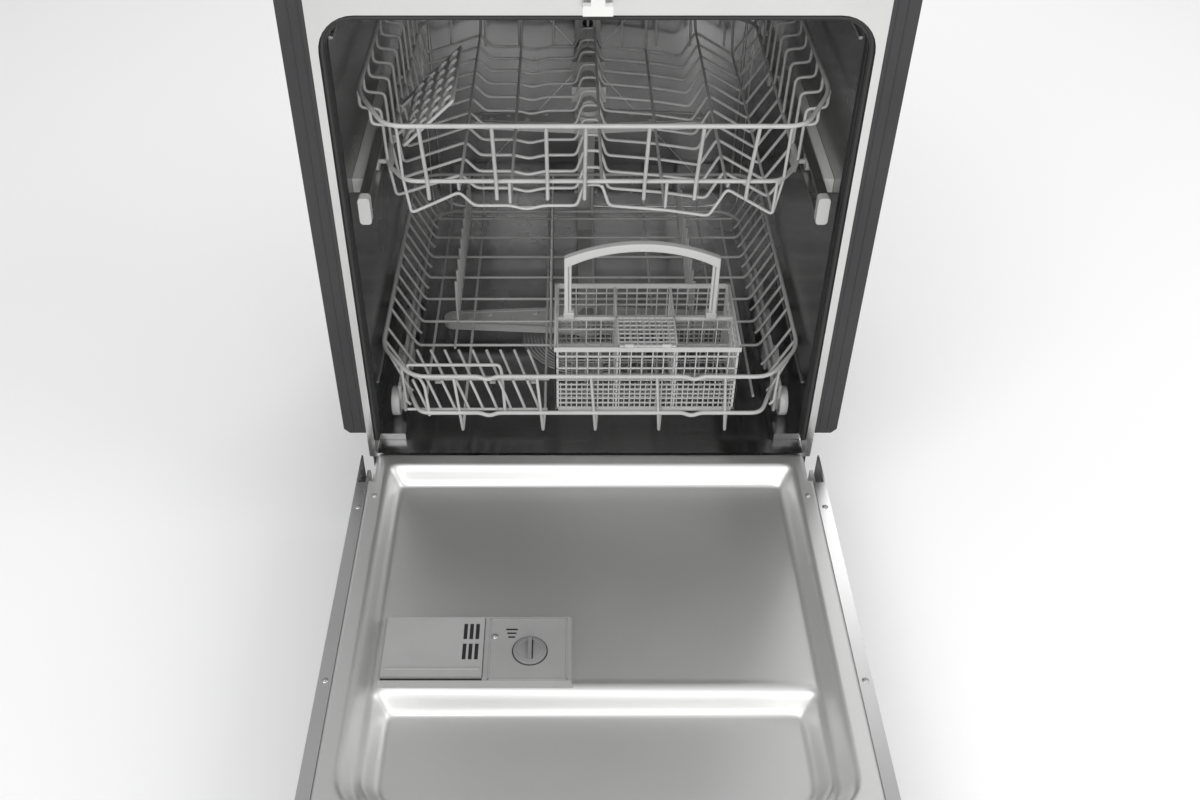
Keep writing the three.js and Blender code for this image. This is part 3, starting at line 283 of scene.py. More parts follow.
def rounded_path(points, radius, loop=False, steps=5):
    """The same path with its corners turned into short arcs."""
    path = [Vector(p) for p in points]
    count = len(path)
    made = []
    for i, corner in enumerate(path):
        if not loop and i in (0, count - 1):
            made.append(corner)
            continue
        before, after = path[i - 1] - corner, path[(i + 1) % count] - corner
        reach = min(radius, before.length * 0.45, after.length * 0.45)
        start, end = corner + before.normalized() * reach, corner + after.normalized() * reach
        for step in range(steps + 1):
            t = step / steps
            made.append(start * (1 - t) ** 2 + corner * 2 * t * (1 - t) + end * t * t)
    return made


def wires(name, runs, look, body, sides=3):
    """One piece made of round wires. Each run is (points, wire radius, bend radius, closed)."""
    merged = bmesh.new()
    for points, radius, bend, loop in runs:
        curve = bpy.data.curves.new(name, "CURVE")
        curve.dimensions = "3D"
        curve.bevel_depth = radius * MM
        curve.bevel_resolution = sides
        curve.use_fill_caps = True
        path = rounded_path(points, bend, loop)
        spline = curve.splines.new("POLY")
        spline.points.add(len(path) - 1)
        for point, place in zip(spline.points, path):
            point.co = (*at(place), 1.0)
        spline.use_cyclic_u = loop
        shape = bpy.data.objects.new(name, curve)
        data = bpy.data.meshes.new_from_object(shape)
        merged.from_mesh(data)
        bpy.data.objects.remove(shape)
        bpy.data.curves.remove(curve)
        bpy.data.meshes.remove(data)
    mesh = bpy.data.meshes.new(name)
    merged.to_mesh(mesh)
    merged.free()
    return place_mesh(name, mesh, look, body)


def span(middle, half):
    return middle - half, middle + half


def screws(name, places, body, axis="Z", radius=4.2, way=1):
    """Screws with a domed head and a raised cross on it. Their heads face along the axis, or
    against it where way is -1."""
    head = [(0.001, 1.4), (radius * 0.35, 1.9), (radius * 0.8, 1.5), (radius, 0.6), (radius, -0.4)]
    arm, thin, rise = radius * 0.55, radius * 0.13, (way * 1.2, way * 2.05)
    parts = []
    for place in places:
        parts.append(lathe_data([(r, way * h) for r, h in head], place, axis, 20))
        for half_u, half_v in ((arm, thin), (thin, arm)):
            u, v = span(0, half_u), span(0, half_v)
            spans = {"Z": (u, v, rise), "X": (rise, u, v), "Y": (u, rise, v)}[axis]
            spans = [tuple(c + s for s in sorted(reach)) for c, reach in zip(place, spans)]
            parts.append(box_data(*spans))
    clean(add_mesh(name, *merge_data(parts), bolt_steel, body, "zinc_steel"))


flange_places = [(way * 272, 1.45, z) for side, way in SIDES for z in (770, 800)]
screws("Flange screws", flange_places, "cabinet", "Y", 3.6, -1)
back = 547.4
back_bead = [(-236, back, 200), (236, back, 200), (236, back, 716), (-236, back, 716)]
wires("Back wall bead", [(back_bead, 2.2, 40, True)], stainless, "cabinet")
for side, way in SIDES:
    wall = way * 280.4
    beads = [([(wall, 60, z), (wall, 500, z)], 1.8, 5, False) for z in (226, 700)]
    wires(f"Side wall bead {side}", beads, stainless, "cabinet")

# Gasket
# A moulded rubber channel pressed into the groove round the opening, with a soft lip and a bulb.
rubber = finish("Black rubber", (0.018, 0.018, 0.019), (0.03, 0.03, 0.031), 0.5, 0.68,
                grain=1400.0, strength=0.2)
keep("tub_gasket", rubber, 1.6, 3)
arch = [(-279.8, 3.2, 176), (-279.8, 3.2, 745.8), (279.8, 3.2, 745.8), (279.8, 3.2, 176)]
lip = [(math.copysign(277.6, x), 12, z if z < 200 else 743.2) for x, _, z in arch]
wires("Gasket bulb", [(arch, 2.3, 37, False), (lip, 1.4, 35, False)], rubber, "cabinet")

# Side seals
# Folded rubber strips on both sides of the flange, which close the gap to the kitchen units.
seal = finish("Seal strip rubber", (0.022, 0.022, 0.024), (0.036, 0.036, 0.038), 0.42, 0.6,
              grain=700.0, strength=0.22)
for side, way in SIDES:
    keep(f"side_seal_{side}", seal, 1.6, 3)
    ribs = [([(way * x, 0.2, 196), (way * x, 0.2, 811)], 0.9, 1, False) for x in (297.5, 308.0)]
    ribs.append(([(way * 320.2, 13, 200), (way * 320.2, 13, 811)], 1.1, 1, False))
    wires(f"Side seal ribs {side}", ribs, seal, "cabinet")

# Sound blanket
# A heavy bitumen mat wrapped over the tub, with a felt face, held by two straps.
blanket = finish("Bitumen blanket", (0.025, 0.024, 0.024), (0.06, 0.058, 0.056), 0.8, 0.95,
                 grain=350.0, strength=0.6, drift=40.0)
keep("tub_blanket", blanket, 2.0, 3)
strap = finish("Strap plastic", (0.5, 0.5, 0.5), (0.6, 0.6, 0.6), 0.4, 0.5, grain=400.0)
strap_run = [(-295.6, 156), (-295.6, 741), (-261, 774.8), (261, 774.8), (295.6, 741), (295.6, 156)]
shoulder_height = 742
for number, depth in enumerate((170, 400), 1):
    verts, faces = [], []
    for x, z in strap_run:
        raised = z > shoulder_height
        out = math.copysign(0.2 if raised else 0.6, x)
        for y in (depth - 9, depth + 9):
            verts += [at((x, y, z)), at((x + out, y, z + (0.9 if raised else 0)))]
    end = (len(strap_run) - 1) * 4
    for a in range(0, end, 4):
        b = a + 4
        faces += [(a + 1, a + 3, b + 3, b + 1), (a, b, b + 2, a + 2)]
        faces += [(a, a + 1, b + 1, b), (a + 2, b + 2, b + 3, a + 3)]
    faces += [(0, 2, 3, 1), (end, end + 1, end + 3, end + 2)]
    clean(add_mesh(f"Blanket strap {number}", verts, faces, strap, "cabinet", "sound_blanket", False))

# Catch
# A white nylon catch screwed to the flange over the opening, which the door latch grips.
white = finish("White nylon", (0.72, 0.72, 0.70), (0.8, 0.8, 0.78), 0.32, 0.45, grain=500.0, strength=0.08)
keep("door_strike", white, 1.2, 3)
screws("Catch screw", [(0, -5.2, 774)], "cabinet", "Y", 2.8, -1)

# Base tray and toe panel
# The moulded tray carries the tub and holds the works. A painted steel panel closes its front.
black = finish("Black moulding", (0.02, 0.02, 0.021), (0.034, 0.034, 0.036), 0.45, 0.62,
               grain=600.0, strength=0.25)
painted = finish("Black paint", (0.016, 0.016, 0.017), (0.024, 0.024, 0.025), 0.3, 0.42, coat=0.2,
                 grain=1200.0, strength=0.1)


def blocks(name, boxes, look, body, slot, bevel=0.5):
    """Boxes, each given by its spans along X, Y and Z, as one piece."""
    part = add_mesh(name, *merge_data([box_data(*b) for b in boxes]), look, body, slot)
    return soften(part, bevel)


def beside(way, near, far):
    """A span along X on the left, where way is -1, or on the right, where it is 1."""
    return tuple(sorted((way * near, way * far)))


keep("base_tray", black, 1.5)
keep("toe_panel", painted, 0.6)
screws("Toe panel screws", [(x, 12, 84) for x in (-262, 262)], "cabinet", "Y", 3.6, -1)
rib_height = (34, 128)
ribs = [(beside(way, 291.5, 293.2), span(y, 2), rib_height)
        for side, way in SIDES for y in range(60, 520, 46)]
ribs += [(span(x, 2), (549.6, 551.4), rib_height) for x in range(-240, 280, 60)]
blocks("Tray ribs", ribs, black, "cabinet", "black_plastic")

# Feet
# Screw feet with a wide pad, a hexagon for the spanner and a threaded stem into the tray.
thread = [(0.01, 64), (5.4, 64)]
for turn in range(16):
    thread += [(6.8, 62.5 - turn * 2.4), (5.8, 61.3 - turn * 2.4)]
pad = [(6.8, 24), (6.8, 9), (13, 6), (19.5, 4), (19.5, 1), (18.5, 0), (0.01, 0)]
nut = [(0.01, 17), (11.5, 17), (12, 16), (12, 11), (11.5, 10), (0.01, 10)]


def turned(name, profile, centre, look, body, slot, axis="Z", segments=40):
    """A solid turned from [radius, height] pairs, as a piece."""
    part = clean(add_mesh(name, *lathe_data(profile, centre, axis, segments), look, body, slot))
    return soften(part, 0.3, 1, 40)


for corner in ("front_left", "front_right", "rear_left", "rear_right"):
    low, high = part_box(f"foot_{corner}")
    centre = ((low.x + high.x) / 2 / MM, ((low.y + high.y) / 2 - FRONT) / MM, 0)
    foot = turned(f"Foot {corner}", thread + pad, centre, black, "cabinet", "black_plastic")
    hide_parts(f"foot_{corner}")
    turned(f"Foot nut {corner}", nut, centre, bolt_steel, "cabinet", "zinc_steel", segments=6)

# Hinge brackets
# Zinc-plated steel arms bolted to the base tray, with the pins that the door turns on.
zinc = finish("Zinc plate", (0.42, 0.43, 0.44), (0.56, 0.57, 0.58), 0.3, 0.45, metallic=0.9,
              grain=160.0, strength=0.12, drift=60.0)
pivot_y, pivot_z, bracket_x = -37, 130, 280
rivet = [(0.01, -1.6), (4.6, -1.6), (5.4, -0.8), (8.5, -0.7), (8.5, 0.2), (0.01, 0.2)]
for side, way in SIDES:
    keep(f"hinge_bracket_{side}", zinc, 0.6)
    turned(f"Pivot rivet {side}", [(r, way * h) for r, h in rivet], (way * bracket_x, pivot_y, pivot_z),
           zinc, "cabinet", "zinc_steel", "X", 28)
    bracket_places = [(way * bracket_x, y, pivot_z) for y in (36, 64)]
    screws(f"Bracket screws {side}", bracket_places, "cabinet", "X", 3.4, -way)

# Door skin
# One folded sheet: the outer face, its side walls and the strips beside the liner. It is brushed
# along the door, and holds the hinge arms.
door_steel = finish("Brushed door steel", (0.56, 0.56, 0.56), (0.63, 0.63, 0.63), 0.26, 0.34, metallic=1.0,
                    grain=60.0, strength=0.1, drift=4.0, lines=(16.0, 1.0, 16.0))
keep("door_skin", door_steel, 0.7, 3)
edge_places = [(way * 291.4, y, 164.3) for side, way in SIDES for y in (-110, -370, -610)]
screws("Door edge screws", edge_places, "door", radius=3.9)

# Door liner
# A deep-drawn panel of thin stainless. A flat edge runs round a shallow pan, which drops at a
# slanted step to a deeper pan with cut corners. The sheet is cut out where the dispenser sits.
liner_edge = 283.4
liner_near, liner_far = -16.0, -652.4
liner_face, pan_depth, step_width = 165.0, 25.0, 19
cut_left, cut_right, cut_far, cut_near = -235, -29, -357, -273
shallow_pan, deep_pan = (264, -32, -547, 46, 5.0), (245, -363, -531, 46, 4.0)


def inside_pan(x, y, half, near, far, corner, softness):
    """How far a place lies inside a pan with two cut corners, with soft corners."""
    gaps = [half - abs(x), near - y, y - far, (half - abs(x) + y - far - corner) / math.sqrt(2)]
    return -softness * math.log(sum(math.exp(-max(g, -80) / softness) for g in gaps))


def eased(share):
    share = min(max(share, 0.0), 1.0)
    return share * share * (3 - 2 * share)


def liner_height(x, y):
    """The liner's face, with a low ridge along the step between the pans."""
    shallow = eased(inside_pan(x, y, *shallow_pan) / step_width)
    deep = eased(inside_pan(x, y, *deep_pan) / step_width)
    ridge = 1.6 * math.exp(-((y + 357.5) / 2.6) ** 2) * eased((243 - abs(x)) / 8)
    return liner_face - pan_depth * (shallow + deep) + ridge * shallow * (1 - deep)


columns, rows = 168, 188
notch_half, notch_far = 277.5, -62
verts, faces = [], []
for j in range(rows + 1):
    y = liner_near + (liner_far - liner_near) * j / rows
    for i in range(columns + 1):
        x = -liner_edge + 2 * liner_edge * i / columns
        verts.append(at((x, y, liner_height(x, y))))
for j in range(rows):
    y = liner_near + (liner_far - liner_near) * (j + 0.5) / rows
    for i in range(columns):
        x = -liner_edge + 2 * liner_edge * (i + 0.5) / columns
        if abs(x) > notch_half and y > notch_far:
            continue
        if cut_left < x < cut_right and cut_far < y < cut_near:
            continue
        a = j * (columns + 1) + i
        faces.append((a, a + columns + 1, a + columns + 2, a + 1))
liner_steel = finish("Liner stainless", (0.71, 0.71, 0.705), (0.76, 0.76, 0.755), 0.44, 0.49, metallic=1.0,
                     grain=50.0, strength=0.02, drift=3.0, lines=(10.0, 1.0, 1.0))
liner = add_mesh("Door liner", verts, faces, liner_steel, "door", "stainless")
sheet = liner.modifiers.new("Sheet", "SOLIDIFY")
sheet.thickness = 1.2 * MM
sheet.offset = -1
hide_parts("door_liner")
liner_places = [(way * 273, y, liner_face) for side, way in SIDES for y in (-90, -600)]
screws("Liner screws", liner_places, "door", radius=3.4)

# Control panel
# A black moulding across the top of the door: grip pocket below, buttons and a display outside,
# and the pocket of the latch inside.
panel_black = finish("Panel plastic", (0.02, 0.02, 0.021), (0.03, 0.03, 0.032), 0.36, 0.48, coat=0.1,
                     grain=900.0, strength=0.12)
keep("control_panel", panel_black, 2.0, 3)
display = finish("Display window", (0.006, 0.006, 0.008), (0.01, 0.01, 0.012), 0.08, 0.12, coat=0.6,
                 strength=0.0)
blocks("Display window", [((60, 128), (-708, -696), (104.4, 105.2))], display, "door", "panel_plastic", 0.4)
mark = finish("Panel print", (0.6, 0.6, 0.6), (0.68, 0.68, 0.68), 0.4, 0.5, strength=0.0)
print_depth = (104.8, 105.1)
marks = [(span(x, 0.8), (-692, -690.4), print_depth) for x in (150, 182, 214)]
marks += [(span(x, 2), span(-712, 0.4), print_depth) for x in (150, 182, 214)]
marks += [(span(6 * n - 250, 2), (-703 - n, -702 + n), print_depth) for n in range(4)]
blocks("Panel marks", marks, mark, "door", "panel_plastic", 0.05)
button_look = finish("Button plastic", (0.25, 0.26, 0.27), (0.33, 0.34, 0.35), 0.25, 0.35, coat=0.2,
                     grain=500.0, strength=0.05)
for number in (1, 2, 3):
    keep(f"panel_button_{number}", button_look, 0.7, 3)
keep("door_latch", white, 0.6)
guides = [((x, x + 1.6), (-708, -662), (139.4, 141.6)) for x in (-20, 9)]
blocks("Latch guides", guides, bolt_steel, "door", "zinc_steel", 0.2)
vents = [((x, x + 14), (y, y + 1.6), (164.8, 165.5))
         for x in range(-250, -160, 18) for y in (-706, -700, -694)]
blocks("Panel vent ribs", vents, panel_black, "door", "panel_plastic", 0.2)

# Dispenser
# A grey moulding let into the liner. Its left half is the detergent cup under a hinged lid, and
# on the right are the rinse aid port with its cap, a screw and the fill marks.
dispenser_grey = finish("Dispenser plastic", (0.27, 0.27, 0.268), (0.33, 0.33, 0.328), 0.36, 0.5,
                        grain=800.0, strength=0.12)
lid_grey = finish("Lid plastic", (0.31, 0.31, 0.308), (0.37, 0.37, 0.368), 0.3, 0.42,
                  grain=800.0, strength=0.1)
cap_grey = finish("Cap plastic", (0.20, 0.20, 0.199), (0.26, 0.26, 0.259), 0.34, 0.46,
                  grain=700.0, strength=0.12)
keep("dispenser_body", dispenser_grey, 1.3, 3)
keep("detergent_lid", lid_grey, 0.9, 3)
screws("Dispenser screw", [(-112, -298, 148)], "door", radius=3.8)
slot_dark = finish("Slot shadow", (0.008, 0.008, 0.008), (0.014, 0.014, 0.014), 0.5, 0.6, strength=0.0)
fill_marks = [(span(-93, half), (y, y + 2.2), (147.6, 148.12))
              for half, y in ((6.6, -289), (5.2, -294.4), (3.8, -299.8))]
blocks("Fill marks", fill_marks, slot_dark, "door", "dispenser_plastic", 0.05)
# The lid gaps are near-black lines: painted shade in the seams round the lid.
gap_lines = [((-124.25, -123.75), (-353.6, -272.4), (146.2, 147.7)),
             ((-235.6, -124.4), (-357.6, -354.1), (145.7, 146.2))]
blocks("Lid gaps", gap_lines, slot_dark, "door", "dispenser_plastic", 0.05)
ridge_height = (147.8, 148.7)
ridges = [((-118, -30), y, ridge_height) for y in ((-357, -355.4), (-274.2, -272.6))]
ridges += [(x, (-357, -272.6), ridge_height) for x in ((-118, -116.4), (-31.6, -30))]
blocks("Dispenser ridges", ridges, dispenser_grey, "door", "dispenser_plastic", 0.3)
lid_ridge = [((-232, -127), (-345.4, -342.6), (150.2, 151.5))]
blocks("Lid ridges", lid_ridge, lid_grey, "detergent_lid", "lid_plastic", 0.7)
slot_pitch_x, slot_pitch_y = 6.8, 28
# The lid slots are near-black bars: painted shade inside the vents.
lid_slots = [(span(-131.8 - slot_pitch_x * i, 2), span(-292.3 - slot_pitch_y * j, 10.9), (149.3, 149.75))
             for i in range(3) for j in range(2)]
blocks("Lid slots", lid_slots, slot_dark, "detergent_lid", "lid_plastic", 0.05)
cap_x, cap_y = -72, -318
cap_profile = [(0.01, 151.4), (13.5, 151.4), (15, 150.6), (17.6, 150.6), (18.8, 149.8), (19, 148.4),
               (15, 148.3), (14.8, 131.9), (0.01, 131.9)]
cap = turned("Rinse aid cap", cap_profile, (cap_x, cap_y, 0), cap_grey, "rinse_cap", "cap_plastic", "Z", 48)
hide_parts("rinse_cap")
grip = [(span(cap_x, 2.2), span(cap_y, 14), (151.2, 155.4)), ((-86, -83), span(cap_y, 1), (150.6, 151.6))]
blocks("Cap grip", grip, cap_grey, "rinse_cap", "cap_plastic", 1.2)


def circle(centre, radius, z, count=32):
    turn = [2 * math.pi * n / count for n in range(count)]
    return [(centre[0] + radius * math.cos(a), centre[1] + radius * math.sin(a), z) for a in turn]


seat_ring, face_ring = circle((cap_x, cap_y), 19.6, 148.2), circle((cap_x, cap_y), 13.9, 151.3)
# The seat ring is a near-black line: painted shade in the gap round the cap.
wires("Cap seat ring", [(seat_ring, 0.5, 1, True)], slot_dark, "door")
wires("Cap face ring", [(face_ring, 0.35, 1, True)], dispenser_grey, "rinse_cap")
shade = [((-69.7, -68.5), (-331, -305), (151.1, 151.6))]
blocks("Cap grip shade", shade, slot_dark, "rinse_cap", "cap_plastic", 0.05)
flap = finish("Cup seal", (0.06, 0.06, 0.062), (0.09, 0.09, 0.092), 0.5, 0.62, grain=900.0)
seal_run = [(-230.5, -351.5, 146.6), (-129, -351.5, 146.6), (-129, -276.5, 146.6), (-230.5, -276.5, 146.6)]
wires("Cup seal", [(seal_run, 1.0, 8, True)], flap, "door")

# Upper rails
# Steel channels in guides on the tub walls, each with a moulded stop on its front end.
grey = finish("Grey moulding", (0.42, 0.42, 0.415), (0.49, 0.49, 0.485), 0.38, 0.5,
              grain=700.0, strength=0.15)
upper_axle_z = 516
for side, way in SIDES:
    keep(f"upper_rail_{side}", stainless, 0.4)
    keep(f"rail_cap_{side}", grey, 1.6, 3)
    keep(f"rail_guide_{side}", white, 1.2)
    guide_places = [(way * 266.6, y, upper_axle_z) for y in (76, 324)]
    screws(f"Guide screws {side}", guide_places, "cabinet", "X", 2.6, -way)

# Rack wheels
# Moulded wheels on short axles. The small ones run inside the upper rails, the large ones on the
# tub's ledges and the open door.
wheel_look = finish("Wheel plastic", (0.51, 0.51, 0.505), (0.59, 0.59, 0.585), 0.34, 0.46,
                    grain=600.0, strength=0.1)
spokes = 5


def spun(data, centre, angle):
    """The same piece turned about a line along X through a place in millimetres."""
    middle = at(centre)
    turn = Matrix.Rotation(angle, 4, "X")
    verts, faces = data
    return [middle + (turn @ (v - middle).to_4d()).to_3d() for v in verts], faces


def rack_wheel(node, radius, half, bore):
    """A spoked wheel in place of a node, with half its width in half. Returns its middle."""
    low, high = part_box(node)
    x, y, z = (low.x + high.x) / 2 / MM, ((low.y + high.y) / 2 - FRONT) / MM, (low.z + high.z) / 2 / MM
    hub, dish, rim = radius * 0.42, radius * 0.5, radius * 0.8
    edge = [(bore, half), (hub, half), (hub + 0.3, half * 0.5), (dish, half * 0.4), (rim, half * 0.4),
            (rim + 0.4, half * 0.9), (radius * 0.95, half * 0.98), (radius, half * 0.7)]
    profile = [(r, -h) for r, h in edge] + [(r, h) for r, h in reversed(edge)] + [(bore, -half)]
    spoke = box_data(span(x, half * 0.75), (y + hub, y + rim), span(z, radius * 0.045))
    pieces = [lathe_data(profile, (x, y, z), "X", 44)]
    pieces += [spun(spoke, (x, y, z), n * 2 * math.pi / spokes) for n in range(spokes)]
    name = node.capitalize().replace("_", " ")
    wheel = soften(clean(add_mesh(name, *merge_data(pieces), wheel_look, node, "wheel_plastic")), 0.25, 1, 40)
    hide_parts(node)
    return x, y, z


axle_end = [(0.01, 6.5), (3.08, 6.3), (4.4, 5.5), (4.4, 3.3), (0.01, 3.3)]
for side, way in SIDES:
    for number in range(1, 5):
        middle = rack_wheel(f"lower_wheel_{side}_{number}", 20.0, 5.5, 4.6)
        turned(f"Lower axle end {side} {number}", [(r, way * h) for r, h in axle_end], middle, white,
               "lower_rack", "white_plastic", "X", 20)
    for number in (1, 2):
        rack_wheel(f"upper_wheel_{side}_{number}", 11.1, 3.0, 3.4)
    keep(f"wheel_carriage_{side}", grey, 0.8)

# Upper rack
# Welded round wire with a satin grey coating. The rim and the lower rail are thick wire. Thin
# cross wires are bent into a step in the sides, seats for cups, a ridge and slopes for stems.
coating = finish("Coated wire", (0.435, 0.433, 0.428), (0.505, 0.503, 0.498), 0.26, 0.36, coat=0.25,
                 grain=500.0, strength=0.1, drift=30.0)
rim_half, rail_half, rack_front, rack_back = 267, 242, 16, 528
rail_front, rail_back = 56, 526
cross_first, cross_last, cross_count = 62, 506, 12
upper_rim, upper_step, upper_floor, lower_rail = 620, 597, 494, 530


def chamfered_loop(half, front, back, z, inset, deep, corner, dips=()):
    """A closed rim with cut corners. Each dip is a short sag in the front wire."""
    front_run = [(-half + inset, front, z)]
    for x in dips:
        front_run += [(x - 12, front, z), (x - 3, front, z - 4), (x + 3, front, z - 4), (x + 12, front, z)]
    return front_run + [(half - inset, front, z), (half, front + deep, z), (half, back - corner, z),
                        (half - corner, back, z), (-half + corner, back, z), (-half, back - corner, z),
                        (-half, front + deep, z)]


def upper_cross(y):
    floor = [(-156, 18), (-139, 0), (-97, 0), (-78, -5), (-57, 0), (-19, 0), (-10, 28), (10, 28), (19, 0),
             (85, -6), (137, -14), (156, 22), (212, -12)]
    rim = min(rim_half, rim_half - 40 * (1 - (y - rack_front) / 84))
    low = min(rail_half, rail_half - 26 * (1 - (y - rail_front) / 40))
    sides = [(-rim, upper_rim), (-rim, upper_step + 2), (-low - 2, upper_step), (-low, lower_rail),
             (6 - low, 484)]
    path = [(x, y, z) for x, z in sides] + [(x, y, upper_floor + rise) for x, rise in floor]
    return path + [(-x, y, z) for x, z in reversed(sides[:4])]


runs = [(chamfered_loop(rim_half, rack_front, rack_back, upper_rim, 40, 84, 26), 2.7, 22, True),
        (chamfered_loop(rail_half, rail_front, rail_back, lower_rail, 26, 40, 26), 2.7, 14, True)]
cross_pitch = (cross_last - cross_first) / (cross_count - 1)
runs += [(upper_cross(cross_first + cross_pitch * n), 1.9, 6, False) for n in range(cross_count)]
for x, rise in ((-156, 20), (-97, 2), (85, -4), (156, 24), (212, -10)):
    z = upper_floor + rise
    runs.append(([(x, rail_front, lower_rail), (x, cross_first, z), (x, cross_last, z),
                  (x, rail_back, lower_rail)], 1.9, 6, False))
for x in (-191, -112, -53, -10, 59, 118, 178):
    runs.append(([(x, rack_front, upper_rim + 1), (x, 53.5, lower_rail), (x, 58, 505)], 2.3, 5, False))
runs.append(([(10, 58, 521.5), (10, cross_last, 521.5)], 1.9, 5, False))
for x in range(-200, 201, 50):
    runs.append(([(x, rack_back, upper_rim), (x, rail_back, lower_rail), (x, 512, 492)], 1.8, 5, False))
rack = wires("Upper rack wires", runs, coating, "upper_rack")
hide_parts("upper_rack")


def wheel_seats(rack_name, depths, plate_x, plate_z, bevel, stub, axle_z, look, segments):
    """Plates on a rack's side wires, and the stub axles that its wheels turn on."""
    label, body = rack_name.capitalize(), f"{rack_name}_rack"
    plates = [(beside(way, *plate_x), span(y, 14), plate_z) for side, way in SIDES for y in depths]
    blocks(f"{label} wheel plates", plates, grey, body, "rack_coating", bevel)
    for side, way in SIDES:
        for number, y in enumerate(depths, 1):
            turned(f"{label} axle {side} {number}", [(r, way * x) for r, x in stub], (0, y, axle_z), look,
                   body, "rack_coating", "X", segments)


upper_stub = [(0.01, 262.6), (2.4, 262.4), (3, 261.8), (3, 243), (0.01, 243)]
wheel_seats("upper", (128, 360), (240.5, 245), (508, 533), 1.2, upper_stub, upper_axle_z, white, 20)

# Cup shelf
# A moulded lattice that clips round the upper rack's lower rail and leans inwards. It folds up.
basket_look = finish("Basket plastic", (0.47, 0.47, 0.465), (0.54, 0.54, 0.535), 0.34, 0.46,
                     grain=900.0, strength=0.12)
keep("cup_shelf", basket_look, 0.7)

# Upper spray arm and its feed
# A flat two-bladed moulding that turns under the rack. A pipe clipped to the rack brings water from
# the docking ring on the back wall.
arm_look = finish("Spray arm plastic", (0.47, 0.47, 0.465), (0.54, 0.54, 0.535), 0.36, 0.48,
                  grain=700.0, strength=0.12)
keep("upper_spray_arm", arm_look, 3.2, 4)
keep("arm_manifold", arm_look, 1.6, 3)


def nozzle_data(x, y, z, way=1):
    profile = [(4.6, -0.6), (4.6, 0.4), (3.2, 1.5), (1.7, 1.5), (1.4, 0.5), (0.01, 0.4)]
    return lathe_data([(r, way * h) for r, h in profile], (x, y, z), "Z", 18)


def arm_parts(name, y, reach, low, high, body):
    """Spray nozzles on and under an arm that turns about x 0 and this y, and ridges along it."""
    on_top = ((0.36, 9), (0.52, -7), (0.68, 6), (0.82, -3), (0.93, 0))
    parts = [nozzle_data(way * reach * share, y + off, high) for way in (-1, 1) for share, off in on_top]
    parts += [nozzle_data(way * reach * 0.6, y, low, -1) for way in (-1, 1)]
    clean(add_mesh(f"{name} nozzles", *merge_data(parts), arm_look, body, "arm_plastic"))
    inner, outer = reach * 0.24, reach * 0.9
    ridges = [([(way * inner, y + off * 18, high), (way * outer, y + off * 9.6, high)], 0.8, 1, False)
              for way in (-1, 1) for off in (-1, 1)]
    wires(f"{name} ridges", ridges, arm_look, body)


upper_arm_y = 362
arm_parts("Upper arm", upper_arm_y, 165, 444, 455, "upper_spray_arm")
cap_under = [(0.01, 440.4), (9, 440.6), (12, 441.6), (13, 444.2), (0.01, 444.2)]
turned("Upper arm cap", cap_under, (0, upper_arm_y, 0), arm_look, "upper_spray_arm", "arm_plastic")
collar = [(16, 456.2), (20, 456.2), (20.6, 457), (20.6, 462), (19.6, 463.4), (16, 463.4), (16, 456.2)]
turned("Manifold collar", collar, (0, upper_arm_y, 0), arm_look, "upper_rack", "arm_plastic")
dock = (0, 0, 470)
muzzle = [(6, 520.6), (10.6, 520.6), (12.6, 518), (12.6, 512), (10, 510), (9.8, 500), (6, 500), (6, 520.6)]
turned("Manifold muzzle", muzzle, dock, arm_look, "upper_rack", "arm_plastic", "Y", 36)

# Feed tube
# A moulded duct on the tub floor and back wall, with a ring that the rack's pipe docks into.
keep("feed_tube", grey, 2.6, 3)
ring = [(13, 527.8), (13, 531.6), (14.4, 534.6), (19.5, 536.6), (20.4, 535.2), (19.4, 530.2),
        (16, 527.8), (13, 527.8)]
turned("Docking ring", ring, dock, grey, "cabinet", "grey_plastic", "Y", 48)
duct_head = [((-19, 19), (538, 547.6), (490.6, 604)), ((-21, 21), (536.6, 547.6), (602, 606))]
blocks("Duct head", duct_head, grey, "cabinet", "grey_plastic", 1.6)
port = (0, 0, 518)
port_ring = [(8, 532.6), (10.6, 532.6), (11.4, 534), (11.4, 538.4), (8, 538.4), (8, 532.6)]
turned("Upper port ring", port_ring, port, grey, "cabinet", "grey_plastic", "Y")
# The port's mouth is a near-black disc: painted shade inside the opening.
port_end = [(0.01, 537.2), (8.2, 537.2), (8.2, 537.8), (0.01, 537.8)]
turned("Upper port", port_end, port, slot_dark, "cabinet", "grey_plastic", "Y")
clip_heights = (230, 330, 430)
clips = [((-19, 19), (536, 547.6), span(z, 5)) for z in clip_heights]
blocks("Duct clips", clips, grey, "cabinet", "grey_plastic", 1.4)
screws("Duct screws", [(x, 536, z) for z in clip_heights for x in (-15.6, 15.6)], "cabinet", "Y", 2.3, -1)

# Lower spray arm
# The larger arm turns on a hub over the sump.
keep("lower_spray_arm", arm_look, 3.6, 4)
sump_y = 262
arm_parts("Lower arm", sump_y, 212, 172.4, 184, "lower_spray_arm")
cap_top = [(0.01, 194.6), (8, 194.2), (12, 192.6), (15, 189.8), (15, 187), (0.01, 187)]
turned("Lower arm cap", cap_top, (0, sump_y, 0), cap_grey, "lower_spray_arm", "arm_plastic", "Z", 6)

